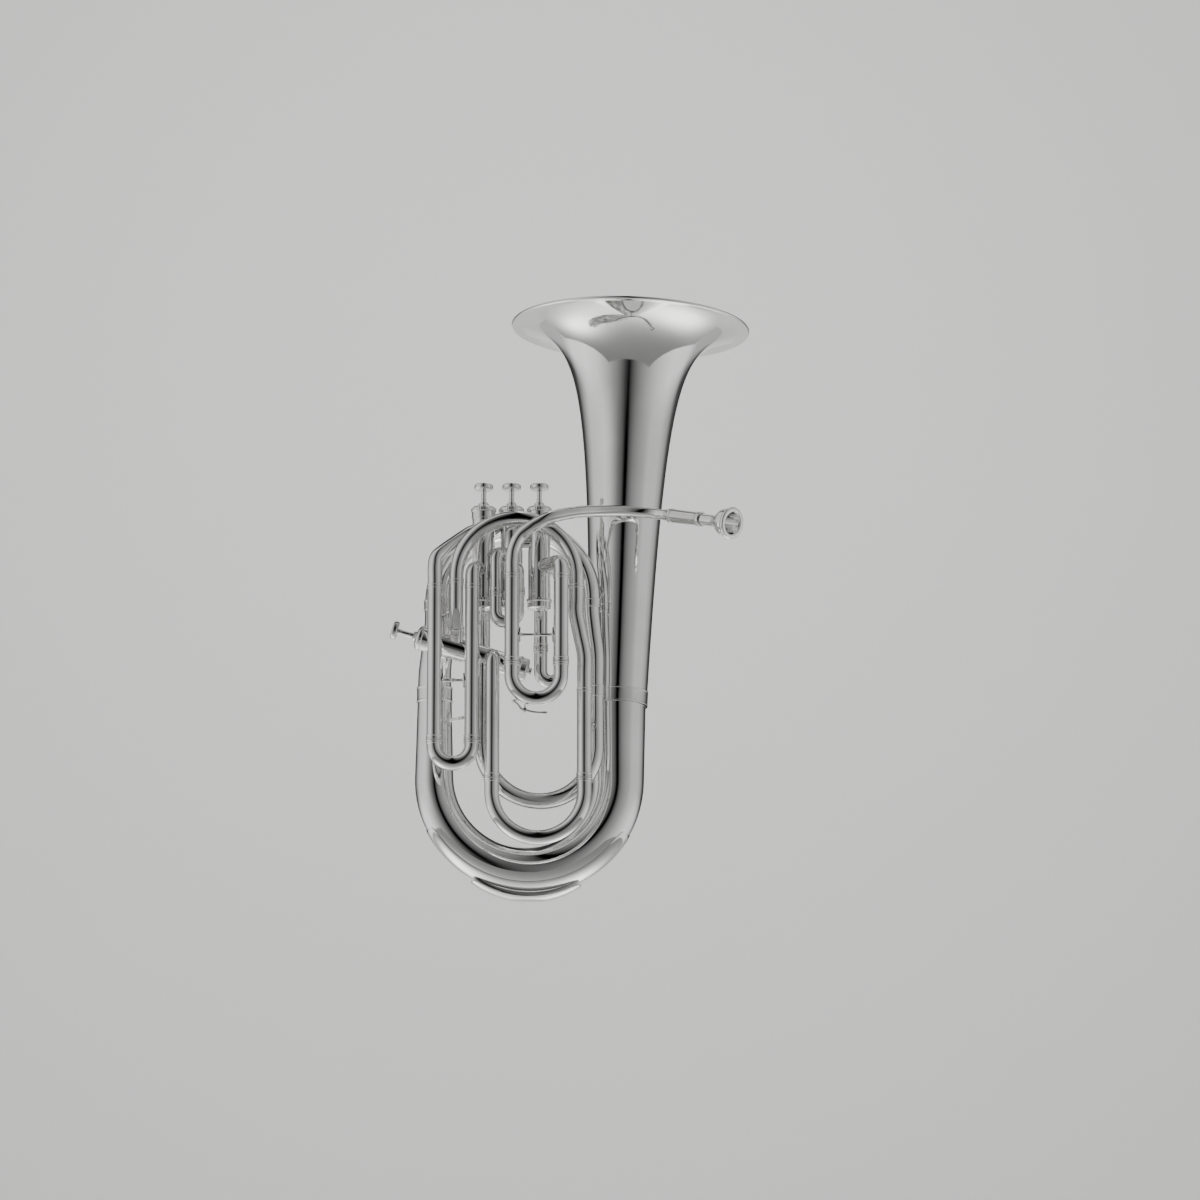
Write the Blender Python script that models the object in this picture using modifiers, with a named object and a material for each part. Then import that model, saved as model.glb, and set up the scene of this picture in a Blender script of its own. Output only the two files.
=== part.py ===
"""Euphonium with three top-action valves and a fourth valve at the side, in metres, +Z up.

X runs across the instrument towards the bell, -Y points at the player, and the origin is the
middle of the flat foot under the bottom bow's heel guard.
"""
import math

import bmesh
import bpy
from mathutils import Euler, Vector

MM = 0.001

# Clearances between neighbouring pieces
GAP = 0.3 * MM
SLIDE_GAP = 0.3 * MM

# Bell
RIM_RADIUS = 144.6 * MM
RIM_BEAD_RADIUS = 1.9 * MM
BELL_LENGTH = 461.0 * MM
BELL_FLARE_START = 9.0 * MM
BELL_FOOT_R = 35.65 * MM
BELL_FLARE_POWER = (math.log(RIM_RADIUS / BELL_FOOT_R)
                    / math.log((BELL_LENGTH + BELL_FLARE_START) / BELL_FLARE_START))
BELL_WALL = 0.9 * MM
BELL_LEAN = math.radians(2.0)
BELL_BASE_Z = 247.0 * MM
BELL_ROWS = 11

# Bottom bow: a widening half circle between the left branch and the bell
BOW_RADIUS = 109.2 * MM
BOW_CENTRE_Y = 6.0 * MM
BOW_SKEW_Y = 12.0 * MM
BOW_LEFT_TUBE_R = 20.3 * MM
BOW_MID_TUBE_R = 27.7 * MM
BOW_RIGHT_TUBE_R = 34.2 * MM
BOW_WALL = 0.9 * MM
BOW_LEFT_TOP_Z = 246.0 * MM
BELL_BASE = Vector((BOW_RADIUS, BOW_CENTRE_Y + BOW_SKEW_Y, BELL_BASE_Z))
FERRULE_WALL = 1.0 * MM
FERRULE_HEIGHT = 18.0 * MM

# Guards on the outside of the bottom bow
STRIP_THICKNESS = 0.8 * MM
STRIP_LIFT = 1.7 * MM
STRIP_HALF_SPAN = math.radians(62.0)
STRIP_HALF_WRAP = math.radians(52.0)
HEEL_THICKNESS = 7.4 * MM
HEEL_END_THICKNESS = 3.0 * MM
HEEL_HALF_SPAN = math.radians(28.0)
HEEL_WIDTH = 27.0 * MM
HEEL_FOOT_DEPTH = 5.6 * MM
HEEL_LIFT = STRIP_LIFT + STRIP_THICKNESS + 2 * GAP
BOW_CENTRE_Z = BOW_RADIUS + BOW_MID_TUBE_R + HEEL_LIFT + HEEL_FOOT_DEPTH

# Left branch, top bow and right branch: the narrowing way back from the bottom bow
TOP_BOW_RADIUS = 90.3 * MM
TOP_BOW_CENTRE = Vector((-13.6, 0.0, 360.0)) * MM
TOP_BOW_LEFT_Y = -10.8 * MM
TOP_BOW_STUB = 6.0 * MM
TOP_BOW_RIGHT_Y = -25.0 * MM
BRANCH_TOP_TUBE_R = 17.6 * MM
TOP_BOW_MID_TUBE_R = 14.4 * MM
TOP_BOW_END_TUBE_R = 11.6 * MM
BRANCH_WALL = 0.8 * MM
BRANCH_STRAIGHT = 12.0 * MM
TOP_BOW_LEFT_FERRULE_HEIGHT = 12.6 * MM
TOP_BOW_RIGHT_FERRULE_HEIGHT = 10.8 * MM
INNER_BOW_FERRULE_HEIGHT = 14.4 * MM
RIGHT_BRANCH_X = 82.5 * MM
RIGHT_BRANCH_JOG_TOP_Z = 334.0 * MM
RIGHT_BRANCH_JOG_LOW_Z = 298.0 * MM
RIGHT_BRANCH_END_Z = 247.0 * MM

# Inner bow: from the right branch to the underside of the fourth valve
INNER_BOW_TUBE_R = 10.0 * MM
INNER_BOW_LEFT_X = -51.6 * MM
INNER_BOW_CENTRE_Z = 180.0 * MM

# Valves
VALVE_Y = -42.0 * MM
VALVE_XS = (-51.0 * MM, -17.6 * MM, 15.6 * MM)
VALVE_BASE_Z = 338.0 * MM
VALVE_LENGTH = 132.0 * MM
CASING_R = 13.4 * MM
CASING_WALL = 1.5 * MM
CAP_WALL = 1.35 * MM
CAP_SKIRT = 10.0 * MM
CAP_TOP = 6.0 * MM
COLLAR_R = 6.15 * MM
COLLAR_HEIGHT = 3.0 * MM
NIPPLE_R = 4.5 * MM
NIPPLE_HEIGHT = 4.0 * MM
VENT_R = 1.2 * MM
PISTON_GAP = 0.3 * MM
PISTON_WALL = 1.2 * MM
SPRING_ROOM = 28.0 * MM
SPRING_TURNS = 4
SPRING_WIRE_R = 0.6 * MM
STEM_R = 3.25 * MM
BUTTON_R = 11.25 * MM
BUTTON_HEIGHT = 7.7 * MM
BUTTON_LIFT = 16.0 * MM
BUTTON_ROUND = 2.6 * MM
CAP_FLOOR = 3.0 * MM
CAP_BEVEL = 1.5 * MM
PISTON_TOP_ROOM = 2.0 * MM
SPRING_SIDE_ROOM = 3.0 * MM
LINK_R = min(8.0 * MM, math.sqrt(CASING_R ** 2 - INNER_BOW_TUBE_R ** 2) - GAP)
LINK_LOW_Z = 374.0 * MM
LINK_HIGH_Z = 424.0 * MM
LINK_BACK = 25.0 * MM
LINK_BEND = 10.5 * MM

# Fourth valve, lying across the instrument and rising to the left
FOURTH_BASE = Vector((6.6, -42.0, 267.2)) * MM
FOURTH_TILT = math.radians(72.7)
FOURTH_OVERHANG = 21.7 * MM
FOURTH_LENGTH = (BOW_RADIUS + FOURTH_BASE.x + FOURTH_OVERHANG) / math.sin(FOURTH_TILT)
FOURTH_BUTTON_LIFT = 19.0 * MM

# Valve tubing
TUBE_R = 8.8 * MM
TUBE_WALL = 0.6 * MM
TUBE_SIDES = 10
RING_EXTRA = 1.0 * MM
RING_HEIGHT = 6.0 * MM
RING_SLOPE = 0.4 * MM
SLIDE_RING_HEIGHT = 3.6 * MM
BRACE_R = 2.0 * MM

# Main tuning slide, nearest the player
MAIN_LEFT_X = -16.2 * MM
MAIN_RIGHT_X = 42.0 * MM
MAIN_Y = -82.0 * MM
MAIN_SLEEVE_LOW_Z = 271.0 * MM
MAIN_SLEEVE_TOP_Z = 378.0 * MM
MAIN_ELBOW_Z = 394.0 * MM
MAIN_INSERT = 80.0 * MM
MAIN_BOW_DROP = 15.0 * MM
MAIN_BEND = 12.0 * MM
MAIN_BRACE_Z = 304.0 * MM

# First valve slide, at the left
FIRST_LEFT_X = -108.0 * MM
FIRST_RIGHT_X = -63.6 * MM
FIRST_Y = -66.0 * MM
FIRST_SLEEVE_LOW_Z = 179.5 * MM
FIRST_ELBOW_Z = 390.0 * MM
FIRST_LEFT_ROUTE = (
    Vector((-108.0, -66.0, 391.0)) * MM,
    Vector((-105.6, -64.0, 402.5)) * MM,
    Vector((-95.5, -58.0, 413.0)) * MM,
    Vector((-84.0, -51.0, 423.0)) * MM,
    Vector((-73.0, -45.0, 432.0)) * MM,
    Vector((-64.0, -42.0, 438.0)) * MM,
    Vector((-54.0, -42.0, 440.0)) * MM,
)
FIRST_INSERT = 95.0 * MM
FIRST_BOW_DROP = 5.0 * MM
FIRST_BEND = 11.0 * MM

# Second valve slide, a short one in front of its valve
SECOND_LEFT = Vector((-35.8, -60.2, 0.0)) * MM
SECOND_RIGHT = Vector((-9.6, -64.2, 0.0)) * MM
SECOND_TUBE_R = 7.8 * MM
SECOND_SLEEVE_LOW_Z = 359.0 * MM
SECOND_LEFT_ELBOW_Z = 409.0 * MM
SECOND_RIGHT_ELBOW_Z = 391.0 * MM
SECOND_INSERT = 20.0 * MM
SECOND_BOW_DROP = 22.0 * MM
SECOND_BEND = 9.0 * MM

# Third valve slide, behind its valve
THIRD_LEFT = Vector((17.4, -17.4, 0.0)) * MM
THIRD_RIGHT = Vector((42.0, -18.0, 0.0)) * MM
THIRD_TUBE_R = 8.0 * MM
THIRD_SLEEVE_LOW_Z = 300.0 * MM
THIRD_LEFT_ELBOW_Z = 375.0 * MM
THIRD_RIGHT_ELBOW_Z = 395.0 * MM
THIRD_INSERT = 60.0 * MM
THIRD_BOW_DROP = 27.0 * MM
THIRD_LEFT_BEND = 9.5 * MM
THIRD_RIGHT_BEND = 14.0 * MM

# Fourth valve loop: an arch over the valves, and a long slide inside the bottom bow
LOOP_Y = -66.0 * MM
LOOP_LEFT_X = -82.8 * MM
LOOP_ARCH_RIGHT_X = 60.0 * MM
LOOP_ARCH_CENTRE_Z = 378.0 * MM
LOOP_JOG_TOP_Z = 326.0 * MM
LOOP_JOG_LOW_Z = 288.0 * MM
LOOP_SLIDE_LEFT_X = -39.6 * MM
LOOP_SLIDE_RIGHT_X = 69.6 * MM
LOOP_SLEEVE_LOW_Z = 134.0 * MM
LOOP_INSERT = 95.0 * MM
LOOP_BOW_DROP = 16.0 * MM
LOOP_BEND = 11.0 * MM
LOOP_ENTRY_RISE = 46.0 * MM

# Leadpipe, receiver and mouthpiece
BRACE_Z = 456.0 * MM
LEADPIPE_BRACE_R = 2.6 * MM
LEADPIPE_ROUTE = (
    Vector((-16.2, -82.0, 379.0)) * MM,
    Vector((-16.2, -82.0, 394.0)) * MM,
    Vector((-14.0, -82.0, 409.0)) * MM,
    Vector((-5.5, -82.0, 425.5)) * MM,
    Vector((10.0, -83.5, 437.0)) * MM,
    Vector((30.0, -82.0, 447.0)) * MM,
    Vector((60.0, -69.5, 456.0)) * MM,
    Vector((90.0, -54.5, 461.0)) * MM,
    Vector((117.0, -46.0, 463.0)) * MM,
    Vector((140.0, -44.5, 461.5)) * MM,
    Vector((155.0, -48.0, 459.0)) * MM,
    Vector((166.5, -55.5, 455.8)) * MM,
)
LEADPIPE_LOW_R = 8.0 * MM
LEADPIPE_TOP_R = 6.2 * MM
MOUTH_AXIS = Vector((0.724, -0.645, -0.245)).normalized()
RECEIVER_START = Vector((167.0, -55.9, 455.6)) * MM
RECEIVER_LENGTH = 58.0 * MM
RECEIVER_R = 8.3 * MM
RECEIVER_SOCKET = 38.0 * MM
SHANK_R = 6.3 * MM
SHANK_TAPER = 0.02
SHANK_INSERT = 33.0 * MM
MOUTHPIECE_LENGTH = 83.0 * MM
MOUTHPIECE_RIM_R = 19.2 * MM
CUP_MOUTH_R = 12.8 * MM
CUP_DEPTH = 24.0 * MM
THROAT_R = 3.4 * MM

# Water key under the main tuning slide's bow: pad, hinge and finger end across the instrument
KEY_PAD_X = -13.0 * MM
KEY_PAD_R = 3.2 * MM
KEY_PAD_HEIGHT = 2.6 * MM
KEY_HINGE_X = -0.5 * MM
KEY_HINGE_DROP = 4.5 * MM
KEY_END_X = 28.0 * MM
KEY_LEVER_R = 1.4 * MM

SILVER = ((0.86, 0.86, 0.85, 1.0), 0.08, 1.0)
STEEL = ((0.62, 0.62, 0.62, 1.0), 0.3, 1.0)

for leftover in list(bpy.data.objects):
    bpy.data.objects.remove(leftover, do_unlink=True)

PARTS = bpy.data.collections.new("euphonium")
CUTTERS = bpy.data.collections.new("cutters")
bpy.context.scene.collection.children.link(PARTS)
bpy.context.scene.collection.children.link(CUTTERS)


# ---------------------------------------------------------------- objects and materials

def dress(obj, finish):
    """Give an object its own Principled material."""
    colour, roughness, metallic = finish
    material = bpy.data.materials.new(obj.name + "_finish")
    material.use_nodes = True
    shader = material.node_tree.nodes["Principled BSDF"]
    shader.inputs["Base Color"].default_value = colour
    shader.inputs["Roughness"].default_value = roughness
    shader.inputs["Metallic"].default_value = metallic
    obj.data.materials.clear()
    obj.data.materials.append(material)


def place(name, data, origin=None, parent=None, collection=None):
    """Put new object data in the scene, at an origin or under a parent."""
    obj = bpy.data.objects.new(name, data)
    (collection or PARTS).objects.link(obj)
    if origin is not None:
        obj.location = origin
    obj.parent = parent
    return obj


def as_mesh(obj):
    """Turn an object with its modifiers into a plain mesh object of the same name."""
    bpy.context.view_layer.update()
    graph = bpy.context.evaluated_depsgraph_get()
    mesh = bpy.data.meshes.new_from_object(obj.evaluated_get(graph))
    welded = bmesh.new()
    welded.from_mesh(mesh)
    bmesh.ops.remove_doubles(welded, verts=welded.verts, dist=0.001 * MM)
    welded.to_mesh(mesh)
    welded.free()
    name = obj.name
    world = obj.matrix_world.copy()
    parent = obj.parent
    collection = obj.users_collection[0]
    bpy.data.objects.remove(obj, do_unlink=True)
    solid = bpy.data.objects.new(name, mesh)
    collection.objects.link(solid)
    solid.parent = parent
    solid.matrix_world = world
    return solid


def as_mesh_and_dress(obj, finish):
    """Make an object a mesh and give it its finish again."""
    solid = as_mesh(obj)
    dress(solid, finish)
    return solid


def cut(obj, tool):
    """Cut an object with a tool."""
    boolean = obj.modifiers.new("cut", "BOOLEAN")
    boolean.operation = "DIFFERENCE"
    boolean.solver = "EXACT"
    boolean.object = tool


# ---------------------------------------------------------------- paths

def arc(centre, first, second, radius, steps):
    """Quarter circle from centre + first to centre + second, which are unit vectors."""
    angles = [0.5 * math.pi * i / steps for i in range(steps + 1)]
    return [centre + radius * (math.cos(a) * first + math.sin(a) * second) for a in angles]


def half_turn(left, right, steps):
    """Half circle hanging below two points at the same height, from left to right."""
    centre = (left + right) / 2
    across = (left - right) / 2
    drop = Vector((0.0, 0.0, -across.length))
    angles = [math.pi * i / steps for i in range(steps + 1)]
    return [centre + math.cos(a) * across + math.sin(a) * drop for a in angles]


def smooth(points, steps):
    """Catmull-Rom curve through a route's points."""
    padded = [2 * points[0] - points[1]] + list(points) + [2 * points[-1] - points[-2]]
    curve = []
    for p0, p1, p2, p3 in zip(padded, padded[1:], padded[2:], padded[3:]):
        for i in range(steps):
            t = i / steps
            curve.append(0.5 * (2 * p1 + (p2 - p0) * t + (2 * p0 - 5 * p1 + 4 * p2 - p3) * t ** 2
                                + (3 * p1 - p0 - 3 * p2 + p3) * t ** 3))
    return curve + [points[-1]]


def lengths(points):
    """Running length at each point of a path."""
    total = [0.0]
    for a, b in zip(points, points[1:]):
        total.append(total[-1] + (b - a).length)
    return total


def taper(points, keys):
    """Radius at each point, read between (share of the length, radius) keys."""
    total = lengths(points)
    radii = []
    for run in total:
        share = run / total[-1]
        for (s0, r0), (s1, r1) in zip(keys, keys[1:]):
            if share <= s1 + 1e-9:
                radii.append(r0 + (r1 - r0) * (share - s0) / (s1 - s0))
                break
    return radii


def down_leg_elbow(leg, leg_low_z, target, target_z, bend):
    """Path from inside a casing out to a leg and down it: the casing's axis is at target."""
    flat_leg = Vector((leg.x, leg.y, 0.0))
    flat_target = Vector((target.x, target.y, 0.0))
    inward = (flat_target - flat_leg).normalized()
    up = Vector((0.0, 0.0, 1.0))
    centre = flat_leg + inward * bend + up * (target_z - bend)
    bend_points = arc(centre, up, -inward, bend, 3)
    start = flat_target + up * target_z
    return [start] + bend_points + [flat_leg + up * leg_low_z]


# ---------------------------------------------------------------- shapes

def tube(name, points, radii, wall, finish, sides=TUBE_SIDES, origin=None):
    """Hollow tube along a path; radii are the outer radius at each point."""
    start = Vector((0.0, 0.0, 0.0)) if origin is None else origin
    curve = bpy.data.curves.new(name, "CURVE")
    curve.dimensions = "3D"
    curve.bevel_depth = 1.0
    curve.bevel_resolution = (sides - 4) // 2
    spline = curve.splines.new("POLY")
    spline.points.add(len(points) - 1)
    for knot, point, radius in zip(spline.points, points, radii):
        knot.co = (*(point - start), 1.0)
        knot.radius = radius
    obj = place(name, curve, start)
    if wall:
        shell = obj.modifiers.new("wall", "SOLIDIFY")
        shell.thickness = wall
        shell.offset = -1.0
    else:
        curve.use_fill_caps = True
    dress(obj, finish)
    return obj


def rod(name, start, end, radius, finish, sides=8):
    """Solid round rod between two points."""
    return tube(name, [start, end], [radius, radius], 0.0, finish, sides)


def turned(name, outline, segments, finish, closed=True, origin=None, parent=None, collection=None):
    """Turned solid from an outline of (radius, height) that runs down its outer side."""
    mesh = bpy.data.meshes.new(name)
    count = len(outline)
    edges = [(i, i + 1) for i in range(count - 1)]
    if closed:
        edges.append((count - 1, 0))
    mesh.from_pydata([(r, 0.0, z) for r, z in outline], edges, [])
    obj = place(name, mesh, origin, parent, collection)
    screw = obj.modifiers.new("turn", "SCREW")
    screw.steps = segments
    screw.render_steps = segments
    screw.use_merge_vertices = True
    screw.merge_threshold = 0.00001
    screw.use_smooth_shade = True
    dress(obj, finish)
    return obj


def cutter(name, radius, low, high, segments, parent):
    """Round cutter along a frame's Z axis."""
    outline = [(0.0, high), (radius, high), (radius, low), (0.0, low)]
    tool = turned(name, outline, segments, STEEL, False, None, parent, CUTTERS)
    tool.hide_render = True
    tool.display_type = "WIRE"
    return tool


def ferrule(name, centre, inner_r, height, direction, segments=20):
    """Soldered ring round a joint between two tubes."""
    outer_r = inner_r + FERRULE_WALL
    outline = [(inner_r, height / 2), (outer_r, height / 2 - FERRULE_WALL),
               (outer_r, FERRULE_WALL - height / 2), (inner_r, -height / 2)]
    ring = turned(name, outline, segments, SILVER, True, centre)
    ring.rotation_euler = direction.to_track_quat("Z", "Y").to_euler()
    return ring


# ---------------------------------------------------------------- bell and bottom bow

def bell_radius(below_rim):
    """Outer radius of the bell at a distance below its rim."""
    return RIM_RADIUS * (BELL_FLARE_START / (below_rim + BELL_FLARE_START)) ** BELL_FLARE_POWER


def build_bell():
    """Flared bell with a rolled bead at its rim, open at both ends."""
    depths = [BELL_LENGTH * (i / BELL_ROWS) ** 2.2 for i in range(1, BELL_ROWS + 1)]
    outer = [(bell_radius(d), BELL_LENGTH - d) for d in depths]
    inner = [(r - BELL_WALL, z) for r, z in outer]
    bead_centre = (RIM_RADIUS - RIM_BEAD_RADIUS, BELL_LENGTH - RIM_BEAD_RADIUS)
    bead = [(bead_centre[0] + RIM_BEAD_RADIUS * math.cos(a), bead_centre[1] + RIM_BEAD_RADIUS * math.sin(a))
            for a in (math.radians(d) for d in (150, 90, 30, -30, -80))]
    bell = turned("bell", bead + outer + inner[::-1], 24, SILVER, True, BELL_BASE)
    bell.rotation_euler = Euler((0.0, BELL_LEAN, 0.0))
    axis = Vector((math.sin(BELL_LEAN), 0.0, math.cos(BELL_LEAN)))
    inner_r = max(bell_radius(BELL_LENGTH - FERRULE_HEIGHT / 2), BOW_RIGHT_TUBE_R) + 2 * GAP
    ferrule("bell_ferrule", BELL_BASE.copy(), inner_r, FERRULE_HEIGHT, axis, 26)


def bow_point(angle):
    """Centreline of the bottom bow; angle runs from 0 at the left, over the bottom, to pi."""
    side = math.cos(angle)
    return Vector((-BOW_RADIUS * side, BOW_CENTRE_Y - BOW_SKEW_Y * side,
                   BOW_CENTRE_Z - BOW_RADIUS * math.sin(angle)))


def bow_path():
    """Whole centreline of the bottom bow with its legs."""
    left_top = Vector((-BOW_RADIUS, BOW_CENTRE_Y - BOW_SKEW_Y, BOW_LEFT_TOP_Z - GAP))
    right_top = Vector((BOW_RADIUS, BOW_CENTRE_Y + BOW_SKEW_Y, BELL_BASE.z - 4 * GAP))
    steps = 14
    return [left_top] + [bow_point(math.pi * i / steps) for i in range(steps + 1)] + [right_top]


BOW_KEYS = ((0.0, BOW_LEFT_TUBE_R), (0.5, BOW_MID_TUBE_R), (1.0, BOW_RIGHT_TUBE_R))


def bow_tube_radius(angle):
    """Outer radius of the bottom bow's tube at an angle."""
    left_leg = BOW_LEFT_TOP_Z - BOW_CENTRE_Z
    right_leg = BELL_BASE.z - BOW_CENTRE_Z
    share = (left_leg + BOW_RADIUS * angle) / (left_leg + math.pi * BOW_RADIUS + right_leg)
    if share < 0.5:
        return BOW_LEFT_TUBE_R + (BOW_MID_TUBE_R - BOW_LEFT_TUBE_R) * share * 2
    return BOW_MID_TUBE_R + (BOW_RIGHT_TUBE_R - BOW_MID_TUBE_R) * (share * 2 - 1)


def build_bottom_bow():
    """Bottom bow and the ferrule that joins it to the left branch."""
    path = bow_path()
    tube("bottom_bow", path, taper(path, BOW_KEYS), BOW_WALL, SILVER, 16)
    joint = Vector((-BOW_RADIUS, BOW_CENTRE_Y - BOW_SKEW_Y, BOW_LEFT_TOP_Z))
    ferrule("bottom_bow_ferrule", joint, BOW_LEFT_TUBE_R + 2 * GAP, FERRULE_HEIGHT, Vector((0, 0, 1)))


def build_guard_strip():
    """Thin wear sheet wrapped round the outside of the bottom bow."""
    rows = 14
    columns = 6
    shape = bmesh.new()
    grid = []
    for i in range(rows + 1):
        angle = math.pi / 2 + STRIP_HALF_SPAN * (2 * i / rows - 1)
        centre = bow_point(angle)
        outward = Vector((-math.cos(angle), 0.0, -math.sin(angle)))
        radius = bow_tube_radius(angle) + STRIP_LIFT
        row = []
        for j in range(columns + 1):
            wrap = STRIP_HALF_WRAP * (2 * j / columns - 1)
            offset = outward * math.cos(wrap) + Vector((0.0, 1.0, 0.0)) * math.sin(wrap)
            row.append(shape.verts.new(centre + radius * offset))
        grid.append(row)
    for low, high in zip(grid, grid[1:]):
        for j in range(columns):
            shape.faces.new((low[j], high[j], high[j + 1], low[j + 1]))
    mesh = bpy.data.meshes.new("bow_guard_strip")
    shape.to_mesh(mesh)
    shape.free()
    sheet = place("bow_guard_strip", mesh)
    shell = sheet.modifiers.new("sheet", "SOLIDIFY")
    shell.thickness = STRIP_THICKNESS
    shell.offset = 1.0
    dress(sheet, SILVER)


def build_guard_heel():
    """Thick heel under the bow, cut flat at Z = 0 so that the instrument has a foot."""
    steps = 12
    inner = []
    outer = []
    for i in range(steps + 1):
        turn = 2 * i / steps - 1
        angle = math.pi / 2 + HEEL_HALF_SPAN * turn
        outward = Vector((-math.cos(angle), 0.0, -math.sin(angle)))
        start = BOW_RADIUS + bow_tube_radius(angle) + HEEL_LIFT
        depth = HEEL_THICKNESS + (HEEL_END_THICKNESS - HEEL_THICKNESS) * turn ** 2
        centre = Vector((0.0, 0.0, BOW_CENTRE_Z))
        inner.append(centre + outward * start)
        outside = centre + outward * (start + depth)
        outside.z = max(outside.z, 0.0)
        outer.append(outside)
    curve = bpy.data.curves.new("bow_guard_heel", "CURVE")
    curve.dimensions = "2D"
    curve.fill_mode = "BOTH"
    curve.extrude = HEEL_WIDTH / 2
    outline = inner + outer[::-1]
    spline = curve.splines.new("POLY")
    spline.points.add(len(outline) - 1)
    for knot, point in zip(spline.points, outline):
        knot.co = (point.x, point.z, 0.0, 1.0)
    spline.use_cyclic_u = True
    heel = place("bow_guard_heel", curve, Vector((0.0, BOW_CENTRE_Y, 0.0)))
    heel.rotation_euler = Euler((math.pi / 2, 0.0, 0.0))
    as_mesh_and_dress(heel, SILVER)


# ---------------------------------------------------------------- branches

def build_branches():
    """Left branch, top bow and right branch, with a ferrule at each joint."""
    stub = Vector((0.0, 0.0, TOP_BOW_STUB))
    top_left = TOP_BOW_CENTRE + Vector((-TOP_BOW_RADIUS, TOP_BOW_LEFT_Y, 0.0)) - stub
    foot = Vector((-BOW_RADIUS, BOW_CENTRE_Y - BOW_SKEW_Y, BOW_LEFT_TOP_Z + GAP))
    straight = Vector((0.0, 0.0, BRANCH_STRAIGHT))
    branch_end = top_left - Vector((0.0, 0.0, 2 * GAP))
    path = [foot, foot + straight, branch_end - straight, branch_end]
    tube("left_branch", path, taper(path, ((0.0, BOW_LEFT_TUBE_R), (1.0, BRANCH_TOP_TUBE_R))),
         BRANCH_WALL, SILVER, 16)
    ferrule("top_bow_left_ferrule", top_left, BRANCH_TOP_TUBE_R + 4 * GAP,
            TOP_BOW_LEFT_FERRULE_HEIGHT, Vector((0, 0, 1)))

    steps = 12
    bow = []
    for i in range(steps + 1):
        angle = math.pi * i / steps
        share = max(0.0, (angle / math.pi - 0.5) * 2)
        share = share * share * (3 - 2 * share)
        y = TOP_BOW_LEFT_Y + (TOP_BOW_RIGHT_Y - TOP_BOW_LEFT_Y) * share
        bow.append(TOP_BOW_CENTRE + Vector((-TOP_BOW_RADIUS * math.cos(angle), y,
                                            TOP_BOW_RADIUS * math.sin(angle))))
    bow = [bow[0] - stub] + bow + [bow[-1] - stub]
    tube("top_bow", bow, taper(bow, ((0.0, BRANCH_TOP_TUBE_R), (0.5, TOP_BOW_MID_TUBE_R),
                                     (1.0, TOP_BOW_END_TUBE_R))), BRANCH_WALL, SILVER, 12)
    right_end = bow[-1]
    ferrule("top_bow_right_ferrule", right_end, TOP_BOW_END_TUBE_R + 4 * GAP,
            TOP_BOW_RIGHT_FERRULE_HEIGHT, Vector((0, 0, 1)))

    start = right_end - Vector((0.0, 0.0, 2 * GAP))
    low_x = RIGHT_BRANCH_X
    mid_z = (RIGHT_BRANCH_JOG_TOP_Z + RIGHT_BRANCH_JOG_LOW_Z) / 2
    path = [start, Vector((start.x, start.y, RIGHT_BRANCH_JOG_TOP_Z)),
            Vector(((start.x + low_x) / 2, start.y, mid_z)),
            Vector((low_x, start.y, RIGHT_BRANCH_JOG_LOW_Z)),
            Vector((low_x, start.y, RIGHT_BRANCH_END_Z + GAP))]
    tube("right_branch", path, taper(path, ((0.0, TOP_BOW_END_TUBE_R), (1.0, INNER_BOW_TUBE_R))),
         BRANCH_WALL, SILVER, 12)
    joint = Vector((low_x, start.y, RIGHT_BRANCH_END_Z))
    ferrule("inner_bow_ferrule", joint, INNER_BOW_TUBE_R + 2 * GAP, INNER_BOW_FERRULE_HEIGHT,
            Vector((0, 0, 1)), 16)


def build_inner_bow(fourth_cutter):
    """Bow that hangs inside the bottom bow and feeds from the fourth valve."""
    right = Vector((RIGHT_BRANCH_X, TOP_BOW_RIGHT_Y, INNER_BOW_CENTRE_Z))
    left = Vector((INNER_BOW_LEFT_X, VALVE_Y, INNER_BOW_CENTRE_Z))
    top_left = Vector((left.x, left.y, fourth_axis_z(left.x)))
    top_right = Vector((right.x, right.y, RIGHT_BRANCH_END_Z - GAP))
    path = [top_left] + half_turn(left, right, 12) + [top_right]
    inner = tube("inner_bow", path, [INNER_BOW_TUBE_R] * len(path), BRANCH_WALL, SILVER, 12)
    cut(as_mesh_and_dress(inner, SILVER), fourth_cutter)


# ---------------------------------------------------------------- valves

def fourth_axis_z(x):
    """Height of the fourth valve's axis at a place across the instrument."""
    return FOURTH_BASE.z + (FOURTH_BASE.x - x) / math.tan(FOURTH_TILT)


def valve_frame(number, base, tilt):
    """Empty at the foot of a valve, with its Z axis along the valve."""
    frame = place("valve_frame_%d" % number, None, base)
    frame.rotation_euler = Euler((0.0, -tilt, 0.0))
    return frame


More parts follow.
